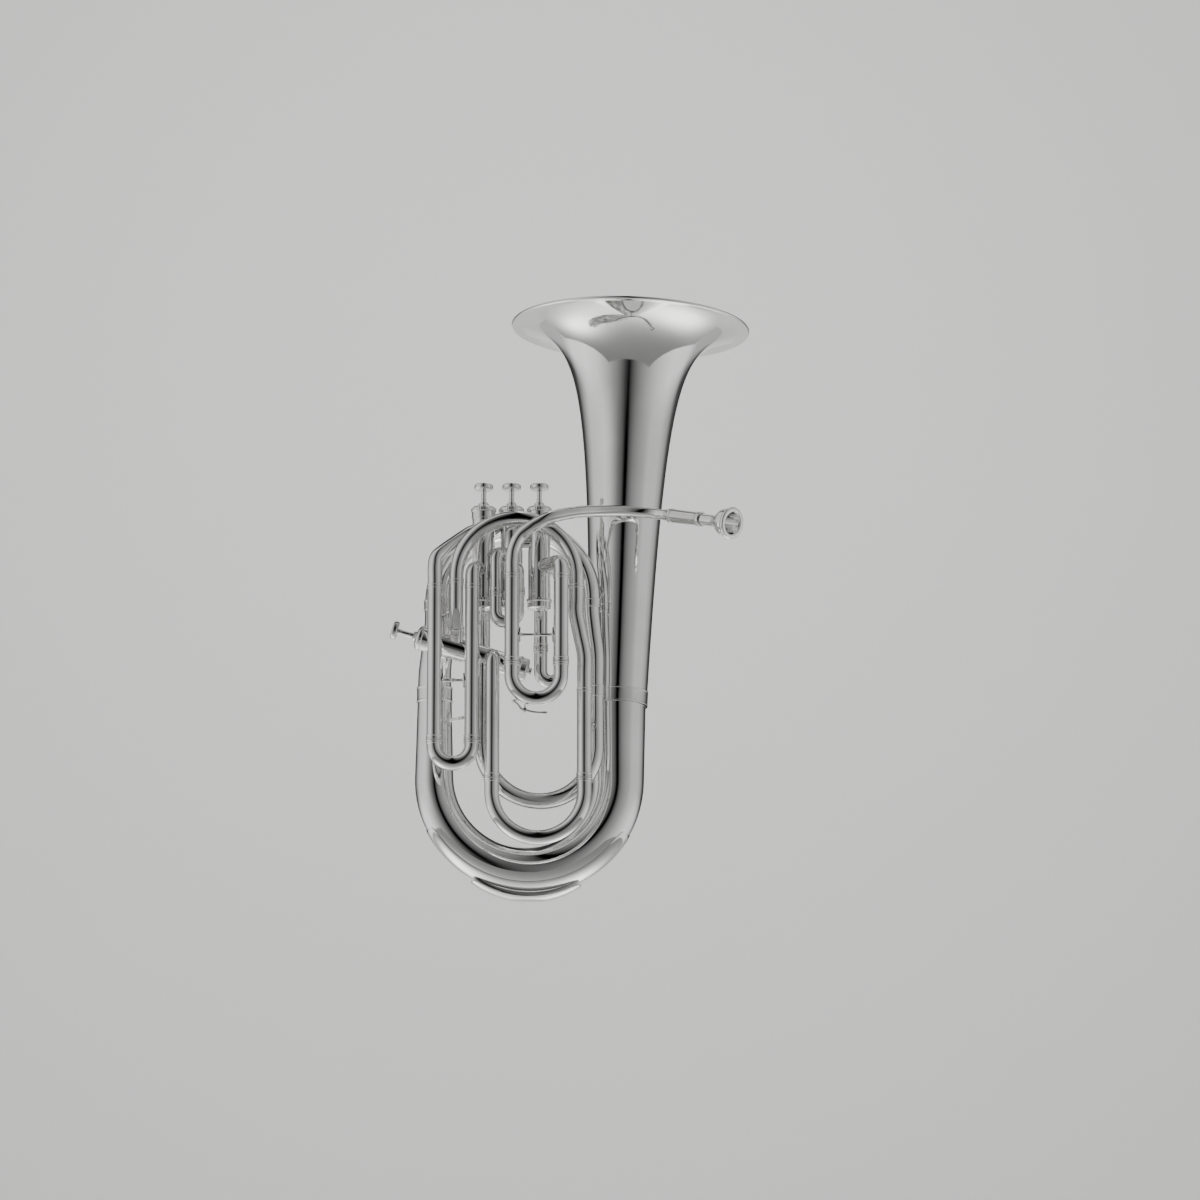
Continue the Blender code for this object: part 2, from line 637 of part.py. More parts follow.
def build_valve(number, base, tilt, length, lift):
    """One valve: casing, two caps, spring, piston with its stem, and button."""
    frame = valve_frame(number, base, tilt)
    tag = "_%d" % number
    segments = 16
    cap_r = CASING_R + GAP + CAP_WALL
    floor = NIPPLE_HEIGHT + CAP_FLOOR
    casing_low = floor + GAP
    casing_high = length - CAP_TOP - GAP
    bore = CASING_R - CASING_WALL
    turned("valve_casing" + tag,
           [(CASING_R, casing_high), (CASING_R, casing_low), (bore, casing_low), (bore, casing_high)],
           segments, SILVER, True, None, frame)

    skirt_r = CASING_R + GAP
    stem_hole = STEM_R + GAP
    turned("top_cap" + tag,
           [(COLLAR_R, length + COLLAR_HEIGHT), (COLLAR_R, length), (cap_r, length - CAP_BEVEL),
            (cap_r, casing_high - CAP_SKIRT), (skirt_r, casing_high - CAP_SKIRT),
            (skirt_r, casing_high + GAP), (stem_hole, casing_high + GAP),
            (stem_hole, length + COLLAR_HEIGHT)],
           segments, SILVER, True, None, frame)

    turned("bottom_cap" + tag,
           [(cap_r, casing_low + CAP_SKIRT), (cap_r, floor), (NIPPLE_R, NIPPLE_HEIGHT),
            (NIPPLE_R, 0.0), (VENT_R, 0.0), (VENT_R, floor), (skirt_r, floor),
            (skirt_r, casing_low + CAP_SKIRT)],
           segments, SILVER, True, None, frame)

    piston_r = bore - PISTON_GAP
    piston_low = casing_low + SPRING_ROOM
    piston_high = casing_high - PISTON_TOP_ROOM
    stem_top = length + COLLAR_HEIGHT + lift
    turned("piston" + tag,
           [(0.0, stem_top), (STEM_R, stem_top), (STEM_R, piston_high), (piston_r, piston_high),
            (piston_r, piston_low), (VENT_R, piston_low), (VENT_R, piston_low + PISTON_WALL),
            (piston_r - PISTON_WALL, piston_low + PISTON_WALL),
            (piston_r - PISTON_WALL, piston_high - 2 * PISTON_WALL), (0.0, piston_high - 2 * PISTON_WALL)],
           segments, SILVER, False, None, frame)

    button_low = stem_top + GAP
    button_high = button_low + BUTTON_HEIGHT
    turned("finger_button" + tag,
           [(0.0, button_high), (BUTTON_R - BUTTON_ROUND, button_high - 0.3 * BUTTON_ROUND),
            (BUTTON_R, button_high - BUTTON_ROUND), (BUTTON_R, button_low + BUTTON_ROUND),
            (BUTTON_R - BUTTON_ROUND, button_low + 0.3 * BUTTON_ROUND), (STEM_R * 1.6, button_low),
            (0.0, button_low)],
           segments, SILVER, False, None, frame)
    return frame


def build_spring(number, frame, height):
    """Coil spring under a piston."""
    coil_r = CASING_R - CASING_WALL - PISTON_GAP - SPRING_SIDE_ROOM
    low = NIPPLE_HEIGHT + CAP_FLOOR + 2 * GAP + SPRING_WIRE_R
    steps = SPRING_TURNS * 6
    rise = height - 2 * SPRING_WIRE_R - 3 * GAP
    points = []
    for i in range(steps + 1):
        turn = 2 * math.pi * SPRING_TURNS * i / steps
        points.append(Vector((coil_r * math.cos(turn), coil_r * math.sin(turn), low + rise * i / steps)))
    spring = tube("valve_spring_%d" % number, points, [SPRING_WIRE_R] * len(points), 0.0, STEEL, 4)
    spring.parent = frame


def casing_cutter(number, frame, length):
    """Cutter a little wider than a casing, for the tubes that end on it."""
    return cutter("casing_cutter_%d" % number, CASING_R + GAP, 0.0, length, 16, frame)


# ---------------------------------------------------------------- valve tubing

def inner_leg_radius(outer_r):
    """Radius of a sliding leg that runs free inside a sleeve with flat-sided walls."""
    return (outer_r - TUBE_WALL) * math.cos(math.pi / TUBE_SIDES) - SLIDE_GAP


def sleeve_radii(path, outer_r):
    """Sleeve radius at each point, with the end ring on the last stretch."""
    return [outer_r] * (len(path) - 2) + [outer_r + RING_EXTRA] * 2


def with_ring(path):
    """Add the two points of an end ring at the foot of a downward leg."""
    foot = path[-1]
    ring_top = foot + Vector((0.0, 0.0, RING_HEIGHT))
    return path[:-1] + [ring_top + Vector((0.0, 0.0, RING_SLOPE)), ring_top, foot]


def sleeve(name, path, outer_r, cutters):
    """Outer sleeve with an end ring, cut where it meets valve casings."""
    ringed = with_ring(path)
    obj = tube(name, ringed, sleeve_radii(ringed, outer_r), TUBE_WALL, SILVER)
    if cutters:
        obj = as_mesh_and_dress(obj, SILVER)
        for tool in cutters:
            cut(obj, tool)
    return obj


def slide_bow(name, left, right, top_z, drop, insert, outer_r):
    """Sliding U: two thin legs, a ring at each leg and a half circle below."""
    left_top = Vector((left.x, left.y, top_z - GAP))
    right_top = Vector((right.x, right.y, top_z - GAP))
    rise = Vector((0.0, 0.0, insert))
    step = Vector((0.0, 0.0, -RING_SLOPE))
    ring = Vector((0.0, 0.0, -SLIDE_RING_HEIGHT))
    fall = Vector((0.0, 0.0, -drop))
    thin = inner_leg_radius(outer_r)
    thick = outer_r + RING_EXTRA
    bow = half_turn(left_top + fall, right_top + fall, 7)
    if drop > RING_HEIGHT:
        mid_left = [left_top + ring, left_top + ring + step]
        mid_right = [right_top + ring + step, right_top + ring]
    else:
        mid_left = [left_top + ring]
        mid_right = [right_top + ring]
    path = [left_top + rise, left_top - step, left_top] + mid_left + bow
    path += mid_right + [right_top, right_top - step, right_top + rise]
    ring_radii = [thick, outer_r] if drop > RING_HEIGHT else [thick]
    radii = [thin, thin, thick] + ring_radii + [outer_r] * len(bow)
    radii += ring_radii[::-1] + [thick, thin, thin]
    origin = (left_top + right_top) / 2
    return tube(name, path, radii, TUBE_WALL, SILVER, TUBE_SIDES, origin)


def brace_between(name, left, right, left_r, right_r, z):
    """Rod between two upright tubes of the given radii, held just off both."""
    a = Vector((left.x, left.y, z))
    b = Vector((right.x, right.y, z))
    along = (b - a).normalized()
    return rod(name, a + along * (left_r + GAP), b - along * (right_r + GAP), BRACE_R, SILVER)


def build_main_slide(cutters):
    """Main tuning slide between the leadpipe and the third valve."""
    left = Vector((MAIN_LEFT_X, MAIN_Y, 0.0))
    right = Vector((MAIN_RIGHT_X, MAIN_Y, 0.0))
    up = Vector((0.0, 0.0, 1.0))
    left_path = [left + up * MAIN_SLEEVE_TOP_Z, left + up * MAIN_SLEEVE_LOW_Z]
    sleeve("main_sleeve_left", left_path, TUBE_R, [])
    target = Vector((VALVE_XS[2], VALVE_Y, 0.0))
    right_path = down_leg_elbow(right, MAIN_SLEEVE_LOW_Z, target, MAIN_ELBOW_Z, MAIN_BEND)
    sleeve("main_sleeve_right", right_path, TUBE_R, [cutters[2]])
    slide_bow("main_tuning_slide", left, right, MAIN_SLEEVE_LOW_Z, MAIN_BOW_DROP, MAIN_INSERT, TUBE_R)
    brace_between("main_sleeve_brace", left, right, TUBE_R, TUBE_R, MAIN_BRACE_Z)


def build_first_slide(cutters):
    """First valve slide: one sleeve turns over into the top of its valve, the other lower down."""
    low_left = Vector((FIRST_LEFT_X, FIRST_Y, FIRST_SLEEVE_LOW_Z))
    left_path = smooth(FIRST_LEFT_ROUTE, 2)[::-1] + [low_left]
    sleeve("first_sleeve_left", left_path, TUBE_R, [cutters[0]])
    right = Vector((FIRST_RIGHT_X, FIRST_Y, 0.0))
    target = Vector((VALVE_XS[0], VALVE_Y, 0.0))
    right_path = down_leg_elbow(right, FIRST_SLEEVE_LOW_Z, target, FIRST_ELBOW_Z, FIRST_BEND)
    sleeve("first_sleeve_right", right_path, TUBE_R, [cutters[0]])
    slide_bow("first_valve_slide", low_left, right, FIRST_SLEEVE_LOW_Z, FIRST_BOW_DROP, FIRST_INSERT,
              TUBE_R)


def build_second_slide(cutters):
    """Short second valve slide."""
    target = Vector((VALVE_XS[1], VALVE_Y, 0.0))
    legs = (("left", SECOND_LEFT, SECOND_LEFT_ELBOW_Z), ("right", SECOND_RIGHT, SECOND_RIGHT_ELBOW_Z))
    for side, leg, elbow_z in legs:
        path = down_leg_elbow(leg, SECOND_SLEEVE_LOW_Z, target, elbow_z, SECOND_BEND)
        sleeve("second_sleeve_" + side, path, SECOND_TUBE_R, [cutters[1]])
    slide_bow("second_valve_slide", SECOND_LEFT, SECOND_RIGHT, SECOND_SLEEVE_LOW_Z, SECOND_BOW_DROP,
              SECOND_INSERT, SECOND_TUBE_R)


def build_third_slide(cutters):
    """Third valve slide, behind the valves."""
    target = Vector((VALVE_XS[2], VALVE_Y, 0.0))
    legs = (("left", THIRD_LEFT, THIRD_LEFT_ELBOW_Z, THIRD_LEFT_BEND),
            ("right", THIRD_RIGHT, THIRD_RIGHT_ELBOW_Z, THIRD_RIGHT_BEND))
    for side, leg, elbow_z, bend in legs:
        path = down_leg_elbow(leg, THIRD_SLEEVE_LOW_Z, target, elbow_z, bend)
        sleeve("third_sleeve_" + side, path, THIRD_TUBE_R, [cutters[2]])
    slide_bow("third_valve_slide", THIRD_LEFT, THIRD_RIGHT, THIRD_SLEEVE_LOW_Z, THIRD_BOW_DROP,
              THIRD_INSERT, THIRD_TUBE_R)


def build_fourth_loop(cutter_4):
    """Fourth valve loop: arch over the valves, riser from the valve, and the long slide."""
    up = Vector((0.0, 0.0, 1.0))
    left_z = fourth_axis_z(LOOP_LEFT_X)
    left = Vector((LOOP_LEFT_X, LOOP_Y, 0.0))
    right = Vector((LOOP_ARCH_RIGHT_X, LOOP_Y, 0.0))
    entry = [Vector((LOOP_LEFT_X, VALVE_Y, left_z)), left + up * (left_z + LOOP_ENTRY_RISE)]
    centre = (left + right) / 2 + up * LOOP_ARCH_CENTRE_Z
    radius = (right.x - left.x) / 2
    steps = 10
    arch = [centre + Vector((-radius * math.cos(math.pi * i / steps), 0.0,
                             radius * math.sin(math.pi * i / steps))) for i in range(steps + 1)]
    low_x = LOOP_SLIDE_RIGHT_X
    mid = Vector(((right.x + low_x) / 2, LOOP_Y, (LOOP_JOG_TOP_Z + LOOP_JOG_LOW_Z) / 2))
    path = entry + arch + [right + up * LOOP_JOG_TOP_Z, mid, Vector((low_x, LOOP_Y, LOOP_JOG_LOW_Z)),
                           Vector((low_x, LOOP_Y, LOOP_SLEEVE_LOW_Z))]
    sleeve("fourth_loop_arch", path, TUBE_R, [cutter_4])

    slide_left = Vector((LOOP_SLIDE_LEFT_X, LOOP_Y, 0.0))
    entry_z = fourth_axis_z(LOOP_SLIDE_LEFT_X)
    target = Vector((LOOP_SLIDE_LEFT_X, VALVE_Y, 0.0))
    path = down_leg_elbow(slide_left, LOOP_SLEEVE_LOW_Z, target, entry_z, LOOP_BEND)
    sleeve("fourth_sleeve_left", path, TUBE_R, [cutter_4])
    slide_bow("fourth_valve_slide", slide_left, Vector((low_x, LOOP_Y, 0.0)), LOOP_SLEEVE_LOW_Z,
              LOOP_BOW_DROP, LOOP_INSERT, TUBE_R)


def build_links(cutters):
    """Short tubes between neighbouring casings, and the link down to the fourth valve."""
    for number, z in ((1, LINK_LOW_Z), (2, LINK_HIGH_Z)):
        start = Vector((VALVE_XS[number - 1], VALVE_Y, z))
        end = Vector((VALVE_XS[number], VALVE_Y, z))
        name = "valve_link_%d_%d" % (number, number + 1)
        link = tube(name, [start, end], [LINK_R] * 2, TUBE_WALL, SILVER)
        link = as_mesh_and_dress(link, SILVER)
        cut(link, cutters[number - 1])
        cut(link, cutters[number])

    x = VALVE_XS[0]
    back_y = VALVE_Y + LINK_BACK
    bend = LINK_BEND
    up = Vector((0.0, 0.0, 1.0))
    back = Vector((0.0, 1.0, 0.0))
    high = Vector((x, back_y, LINK_LOW_Z))
    low = Vector((x, back_y, fourth_axis_z(x)))
    path = [Vector((x, VALVE_Y, high.z))]
    path += arc(high - back * bend - up * bend, up, back, bend, 3)
    path += arc(low - back * bend + up * bend, back, -up, bend, 3)
    path += [Vector((x, VALVE_Y, low.z))]
    link = tube("valve_link_1_4", path, [LINK_R] * len(path), TUBE_WALL, SILVER)
    link = as_mesh_and_dress(link, SILVER)
    cut(link, cutters[0])
    cut(link, cutters[3])


# ---------------------------------------------------------------- mouthpipe

def build_leadpipe():
    """Tapered leadpipe and the receiver for the mouthpiece."""
    path = smooth(LEADPIPE_ROUTE, 2)
    tube("leadpipe", path, taper(path, ((0.0, LEADPIPE_LOW_R), (1.0, LEADPIPE_TOP_R))), TUBE_WALL,
         SILVER)
    socket_r = shank_radius(0.0) + GAP
    deep_r = shank_radius(SHANK_INSERT) + GAP
    bottom = RECEIVER_LENGTH - RECEIVER_SOCKET
    bore = LEADPIPE_TOP_R - TUBE_WALL
    receiver = turned("receiver",
                      [(RECEIVER_R + RING_EXTRA, RECEIVER_LENGTH),
                       (RECEIVER_R + RING_EXTRA, RECEIVER_LENGTH - 5.0 * MM),
                       (RECEIVER_R, RECEIVER_LENGTH - 6.0 * MM), (RECEIVER_R, 8.0 * MM),
                       (LEADPIPE_TOP_R + 0.8 * MM, 0.0), (bore, 0.0), (bore, bottom - 1.0 * MM),
                       (deep_r, bottom), (socket_r, RECEIVER_LENGTH)],
                      16, SILVER, True, RECEIVER_START + MOUTH_AXIS * GAP)
    receiver.rotation_euler = MOUTH_AXIS.to_track_quat("Z", "Y").to_euler()


def shank_radius(depth):
    """Outer radius of the mouthpiece's shank at a depth inside the receiver."""
    return SHANK_R + SHANK_TAPER * (SHANK_INSERT - depth)


def build_mouthpiece():
    """Mouthpiece with a cup, throat and backbore, its origin at the receiver's mouth."""
    top = MOUTHPIECE_LENGTH - SHANK_INSERT
    low = -SHANK_INSERT
    cup_floor = top - CUP_DEPTH
    outline = [(MOUTHPIECE_RIM_R - 3.5 * MM, top), (MOUTHPIECE_RIM_R - 0.8 * MM, top - 0.8 * MM),
               (MOUTHPIECE_RIM_R, top - 3.0 * MM), (MOUTHPIECE_RIM_R - 1.5 * MM, top - 6.5 * MM),
               (MOUTHPIECE_RIM_R - 3.2 * MM, top - 12.0 * MM), (11.5 * MM, cup_floor + 2.0 * MM),
               (7.2 * MM, cup_floor - 9.0 * MM), (shank_radius(0.0), 4.0 * MM),
               (shank_radius(SHANK_INSERT), low), (shank_radius(SHANK_INSERT) - 1.0 * MM, low),
               (THROAT_R, cup_floor - 2.0 * MM), (THROAT_R + 2.5 * MM, cup_floor + 4.0 * MM),
               (CUP_MOUTH_R - 2.0 * MM, top - 12.0 * MM), (CUP_MOUTH_R, top - 2.0 * MM)]
    origin = RECEIVER_START + MOUTH_AXIS * (GAP + RECEIVER_LENGTH)
    mouthpiece = turned("mouthpiece", outline, 18, SILVER, True, origin)
    mouthpiece.rotation_euler = MOUTH_AXIS.to_track_quat("Z", "Y").to_euler()


# ---------------------------------------------------------------- braces and water key

def build_water_key():
    """Water key: a sprung lever with its pad under the main tuning slide's bow."""
    middle_x = (MAIN_LEFT_X + MAIN_RIGHT_X) / 2
    bow_centre_z = MAIN_SLEEVE_LOW_Z - GAP - MAIN_BOW_DROP
    outside = (MAIN_RIGHT_X - MAIN_LEFT_X) / 2 + TUBE_R
    bottom_z = bow_centre_z - outside
    inner_edge = KEY_PAD_X + KEY_PAD_R - middle_x
    pad_z = bow_centre_z - math.sqrt(outside ** 2 - inner_edge ** 2) - 5 * GAP
    lever_z = bottom_z - KEY_HINGE_DROP
    heights = ((KEY_PAD_X, pad_z), (KEY_PAD_X, pad_z - KEY_PAD_HEIGHT),
               (KEY_PAD_X + 0.6 * MM, pad_z - KEY_PAD_HEIGHT - 0.8 * MM), (KEY_HINGE_X, lever_z),
               ((KEY_HINGE_X + KEY_END_X) / 2, lever_z - 3.0 * MM), (KEY_END_X, lever_z - 4.0 * MM))
    path = [Vector((x, MAIN_Y, z)) for x, z in heights]
    radii = [KEY_PAD_R, KEY_PAD_R] + [KEY_LEVER_R] * 3 + [KEY_LEVER_R * 1.6]
    tube("water_key", path, radii, 0.0, SILVER, 8, Vector((KEY_HINGE_X, MAIN_Y, lever_z)))


def build_braces():
    """Brace that ties the leadpipe to the bell."""
    z = BRACE_Z
    middle = bell_axis(z)
    pipe = min(smooth(LEADPIPE_ROUTE, 8), key=lambda point: abs(point.x - middle.x))
    towards = (pipe - middle).normalized()
    bell_r = bell_radius(BELL_LENGTH - (z + LEADPIPE_BRACE_R - BELL_BASE.z))
    rod("leadpipe_brace", middle + towards * (bell_r + 5 * GAP),
        pipe - towards * (LEADPIPE_TOP_R + 5 * GAP), LEADPIPE_BRACE_R, SILVER)


def bell_axis(z):
    """Point on the bell's axis at a height."""
    rise = z - BELL_BASE.z
    return BELL_BASE + Vector((rise * math.tan(BELL_LEAN), 0.0, rise))


def build_all():
    """Build every piece."""
    build_bell()
    build_bottom_bow()
    build_guard_strip()
    build_guard_heel()
    build_branches()

    cutters = []
    for number, x in enumerate(VALVE_XS, start=1):
        base = Vector((x, VALVE_Y, VALVE_BASE_Z))
        frame = build_valve(number, base, 0.0, VALVE_LENGTH, BUTTON_LIFT)
        build_spring(number, frame, SPRING_ROOM)
        cutters.append(casing_cutter(number, frame, VALVE_LENGTH))
    frame = build_valve(4, FOURTH_BASE, FOURTH_TILT, FOURTH_LENGTH, FOURTH_BUTTON_LIFT)
    cutters.append(casing_cutter(4, frame, FOURTH_LENGTH))

    build_inner_bow(cutters[3])
    build_main_slide(cutters)
    build_first_slide(cutters)
    build_second_slide(cutters)
    build_third_slide(cutters)
    build_fourth_loop(cutters[3])
    build_links(cutters)
    build_leadpipe()
    build_mouthpiece()
    build_braces()
    build_water_key()


build_all()
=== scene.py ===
"""Looks for the euphonium: smooth tubes, turned fittings and polished silver plate round the CAD frame."""
import math

import bmesh
import bpy
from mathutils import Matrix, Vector


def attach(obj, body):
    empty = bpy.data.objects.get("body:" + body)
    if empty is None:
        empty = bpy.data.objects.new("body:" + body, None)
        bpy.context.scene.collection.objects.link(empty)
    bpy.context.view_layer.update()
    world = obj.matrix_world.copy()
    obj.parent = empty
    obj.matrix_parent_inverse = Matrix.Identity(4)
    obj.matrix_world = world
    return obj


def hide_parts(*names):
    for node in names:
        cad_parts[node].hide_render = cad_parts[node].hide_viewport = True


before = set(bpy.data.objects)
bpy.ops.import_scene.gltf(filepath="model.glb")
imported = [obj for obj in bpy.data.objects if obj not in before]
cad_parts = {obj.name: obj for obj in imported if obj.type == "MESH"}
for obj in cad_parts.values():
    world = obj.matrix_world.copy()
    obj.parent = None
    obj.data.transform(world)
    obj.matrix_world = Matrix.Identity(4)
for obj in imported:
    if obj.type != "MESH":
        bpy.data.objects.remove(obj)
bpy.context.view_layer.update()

MM = 0.001
UP = Vector((0.0, 0.0, 1.0))
BACK = Vector((0.0, 1.0, 0.0))


def points_mm(*points):
    """Points of a route, given in millimetres."""
    return [Vector(point) * MM for point in points]


# Bell
RIM_RADIUS = 144.6 * MM
RIM_BEAD_RADIUS = 1.9 * MM
BELL_LENGTH = 461.0 * MM
BELL_FLARE_START = 9.0 * MM
BELL_FLARE_POWER = 0.354
BELL_WALL = 0.9 * MM
BELL_LEAN = math.radians(2.0)
BELL_BASE = Vector((109.2, 18.0, 247.0)) * MM
BELL_AXIS = Vector((math.sin(BELL_LEAN), 0.0, math.cos(BELL_LEAN)))

# Bottom bow and its guards
BOW_RADIUS = 109.2 * MM
BOW_CENTRE_Z = 145.6 * MM
BOW_CENTRE_Y = 6.0 * MM
BOW_SKEW_Y = 12.0 * MM
BOW_LEFT_TUBE_R = 20.3 * MM
BOW_MID_TUBE_R = 27.7 * MM
BOW_RIGHT_TUBE_R = 34.2 * MM
BOW_LEFT_TOP_Z = 246.0 * MM
STRIP_THICKNESS = 0.8 * MM
STRIP_LIFT = 0.3 * MM
STRIP_HALF_SPAN = math.radians(62.0)
STRIP_HALF_WRAP = math.radians(52.0)
HEEL_HALF_SPAN = math.radians(28.0)
HEEL_HALF_WIDTH = 13.3 * MM

# Branches
TOP_BOW_RADIUS = 90.3 * MM
TOP_BOW_CENTRE = Vector((-13.6, 0.0, 360.0)) * MM
TOP_BOW_LEFT_Y = -10.8 * MM
TOP_BOW_RIGHT_Y = -25.0 * MM
TOP_BOW_STUB = 6.0 * MM
BRANCH_TOP_TUBE_R = 17.6 * MM
TOP_BOW_MID_TUBE_R = 14.4 * MM
TOP_BOW_END_TUBE_R = 11.6 * MM
RIGHT_BRANCH_X = 82.5 * MM
RIGHT_BRANCH_JOG_TOP_Z = 334.0 * MM
RIGHT_BRANCH_JOG_LOW_Z = 298.0 * MM
RIGHT_BRANCH_END_Z = 247.0 * MM
INNER_BOW_TUBE_R = 10.0 * MM
INNER_BOW_LEFT_X = -51.6 * MM
INNER_BOW_CENTRE_Z = 180.0 * MM

# Valves
VALVE_Y = -42.0 * MM
VALVE_XS = (-51.0 * MM, -17.6 * MM, 15.6 * MM)
VALVE_BASE_Z = 338.0 * MM
VALVE_LENGTH = 132.0 * MM
CASING_R = 13.4 * MM
CAP_R = 15.05 * MM
LINK_R = 8.0 * MM
LINK_1_2_Z = 374.0 * MM
LINK_2_3_Z = 424.0 * MM
COLLAR_R = 6.15 * MM
COLLAR_HEIGHT = 3.0 * MM
STEM_R = 3.25 * MM
BUTTON_R = 11.25 * MM
BUTTON_HEIGHT = 7.7 * MM
BUTTON_LIFT = 16.0 * MM
FOURTH_BASE = Vector((6.6, -42.0, 267.2)) * MM
FOURTH_TILT = math.radians(72.7)
FOURTH_LENGTH = 144.0 * MM
FOURTH_BUTTON_LIFT = 19.0 * MM
FOURTH_AXIS = Vector((-math.sin(FOURTH_TILT), 0.0, math.cos(FOURTH_TILT)))

# Valve tubing
TUBE_R = 8.8 * MM
WALL = 0.6 * MM
MAIN_LEFT_X = -16.2 * MM
MAIN_RIGHT_X = 42.0 * MM
MAIN_Y = -82.0 * MM
MAIN_LOW_Z = 271.0 * MM
MAIN_TOP_Z = 378.0 * MM
MAIN_ELBOW_Z = 394.0 * MM
MAIN_BRACE_Z = 304.0 * MM
MAIN_INSERT = 80.0 * MM
MAIN_BOW_DROP = 15.0 * MM
FIRST_LEFT_X = -108.0 * MM
FIRST_RIGHT_X = -63.6 * MM
FIRST_Y = -66.0 * MM
FIRST_LOW_Z = 179.5 * MM
FIRST_ELBOW_Z = 390.0 * MM
FIRST_INSERT = 95.0 * MM
FIRST_BOW_DROP = 5.0 * MM
FIRST_LEAD_Z = 374.0 * MM
FIRST_RING_Z = 366.0 * MM
FIRST_BRACE_Z = 252.0 * MM
FIRST_LEFT_ROUTE = points_mm(
    (-108.0, -66.0, 391.0),
    (-105.6, -64.0, 402.5),
    (-95.5, -58.0, 413.0),
    (-84.0, -51.0, 423.0),
    (-73.0, -45.0, 432.0),
    (-64.0, -42.0, 438.0),
    (-54.0, -42.0, 440.0),
)
SECOND_LEFT = Vector((-35.8, -60.2, 0.0)) * MM
SECOND_RIGHT = Vector((-9.6, -64.2, 0.0)) * MM
SECOND_TUBE_R = 7.8 * MM
SECOND_LOW_Z = 359.0 * MM
SECOND_LEFT_ELBOW_Z = 409.0 * MM
SECOND_RIGHT_ELBOW_Z = 391.0 * MM
SECOND_INSERT = 20.0 * MM
SECOND_BOW_DROP = 22.0 * MM
THIRD_LEFT = Vector((17.4, -17.4, 0.0)) * MM
THIRD_RIGHT = Vector((42.0, -18.0, 0.0)) * MM
THIRD_TUBE_R = 8.0 * MM
THIRD_LOW_Z = 300.0 * MM
THIRD_LEFT_ELBOW_Z = 375.0 * MM
THIRD_RIGHT_ELBOW_Z = 395.0 * MM
THIRD_INSERT = 60.0 * MM
THIRD_BOW_DROP = 27.0 * MM
LOOP_Y = -66.0 * MM
LOOP_LEFT_X = -82.8 * MM
LOOP_ARCH_RIGHT_X = 60.0 * MM
LOOP_ARCH_CENTRE_Z = 378.0 * MM
LOOP_ENTRY_RISE = 46.0 * MM
LOOP_RING_ZS = {"left": 372.0 * MM, "right": 366.0 * MM}
LOOP_JOG_TOP_Z = 326.0 * MM
LOOP_JOG_LOW_Z = 288.0 * MM
LOOP_SLIDE_LEFT_X = -39.6 * MM
LOOP_SLIDE_RIGHT_X = 69.6 * MM
LOOP_LOW_Z = 134.0 * MM
LOOP_INSERT = 95.0 * MM
LOOP_BOW_DROP = 16.0 * MM

# Leadpipe, receiver and mouthpiece
LEADPIPE_ROUTE = points_mm(
    (-16.2, -82.0, 378.6),
    (-16.2, -82.0, 394.0),
    (-14.0, -82.0, 409.0),
    (-5.5, -82.0, 425.5),
    (10.0, -83.5, 437.0),
    (30.0, -82.0, 447.0),
    (60.0, -69.5, 456.0),
    (90.0, -54.5, 461.0),
    (117.0, -46.0, 463.0),
    (140.0, -44.5, 461.5),
    (155.0, -48.0, 459.0),
    (166.5, -55.5, 455.8),
)
LEADPIPE_LOW_R = 8.0 * MM
LEADPIPE_TOP_R = 6.2 * MM
MOUTH_AXIS = Vector((0.724, -0.645, -0.245)).normalized()
RECEIVER_START = Vector((167.0, -55.9, 455.6)) * MM
RECEIVER_LENGTH = 58.0 * MM
RECEIVER_R = 8.3 * MM
MOUTHPIECE_TOP = 50.0 * MM
MOUTHPIECE_RIM_R = 19.2 * MM
SHANK_INSERT = 33.0 * MM
SHANK_R = 6.3 * MM

# Water key
KEY_PAD_X = -13.0 * MM
KEY_HINGE_X = -0.5 * MM
KEY_END_X = 28.0 * MM
KEY_LEVER_Z = 213.3 * MM
KEY_PAD_R = 3.2 * MM

CASING = "instrument"

# Studio
FLOOR_Z = -1.75


# ---------------------------------------------------------------- materials

def node(tree, kind, **settings):
    """New shader node with some of its settings."""
    made = tree.nodes.new(kind)
    for name, value in settings.items():
        setattr(made, name, value)
    return made


def noise(tree, source, scale, detail, stretch=(1.0, 1.0, 1.0)):
    """Noise of a given scale, drawn out along an axis by stretch."""
    mapping = node(tree, "ShaderNodeMapping")
    mapping.inputs["Scale"].default_value = stretch
    texture = node(tree, "ShaderNodeTexNoise")
    texture.inputs["Scale"].default_value = scale
    texture.inputs["Detail"].default_value = detail
    tree.links.new(source.outputs["Object"], mapping.inputs["Vector"])
    tree.links.new(mapping.outputs["Vector"], texture.inputs["Vector"])
    return texture


def spread(tree, texture, low, high, low_out, high_out):
    """Map a texture's middle range to an output range."""
    remap = node(tree, "ShaderNodeMapRange")
    remap.inputs["From Min"].default_value = low
    remap.inputs["From Max"].default_value = high
    remap.inputs["To Min"].default_value = low_out
    remap.inputs["To Max"].default_value = high_out
    tree.links.new(texture.outputs[0], remap.inputs["Value"])
    return remap


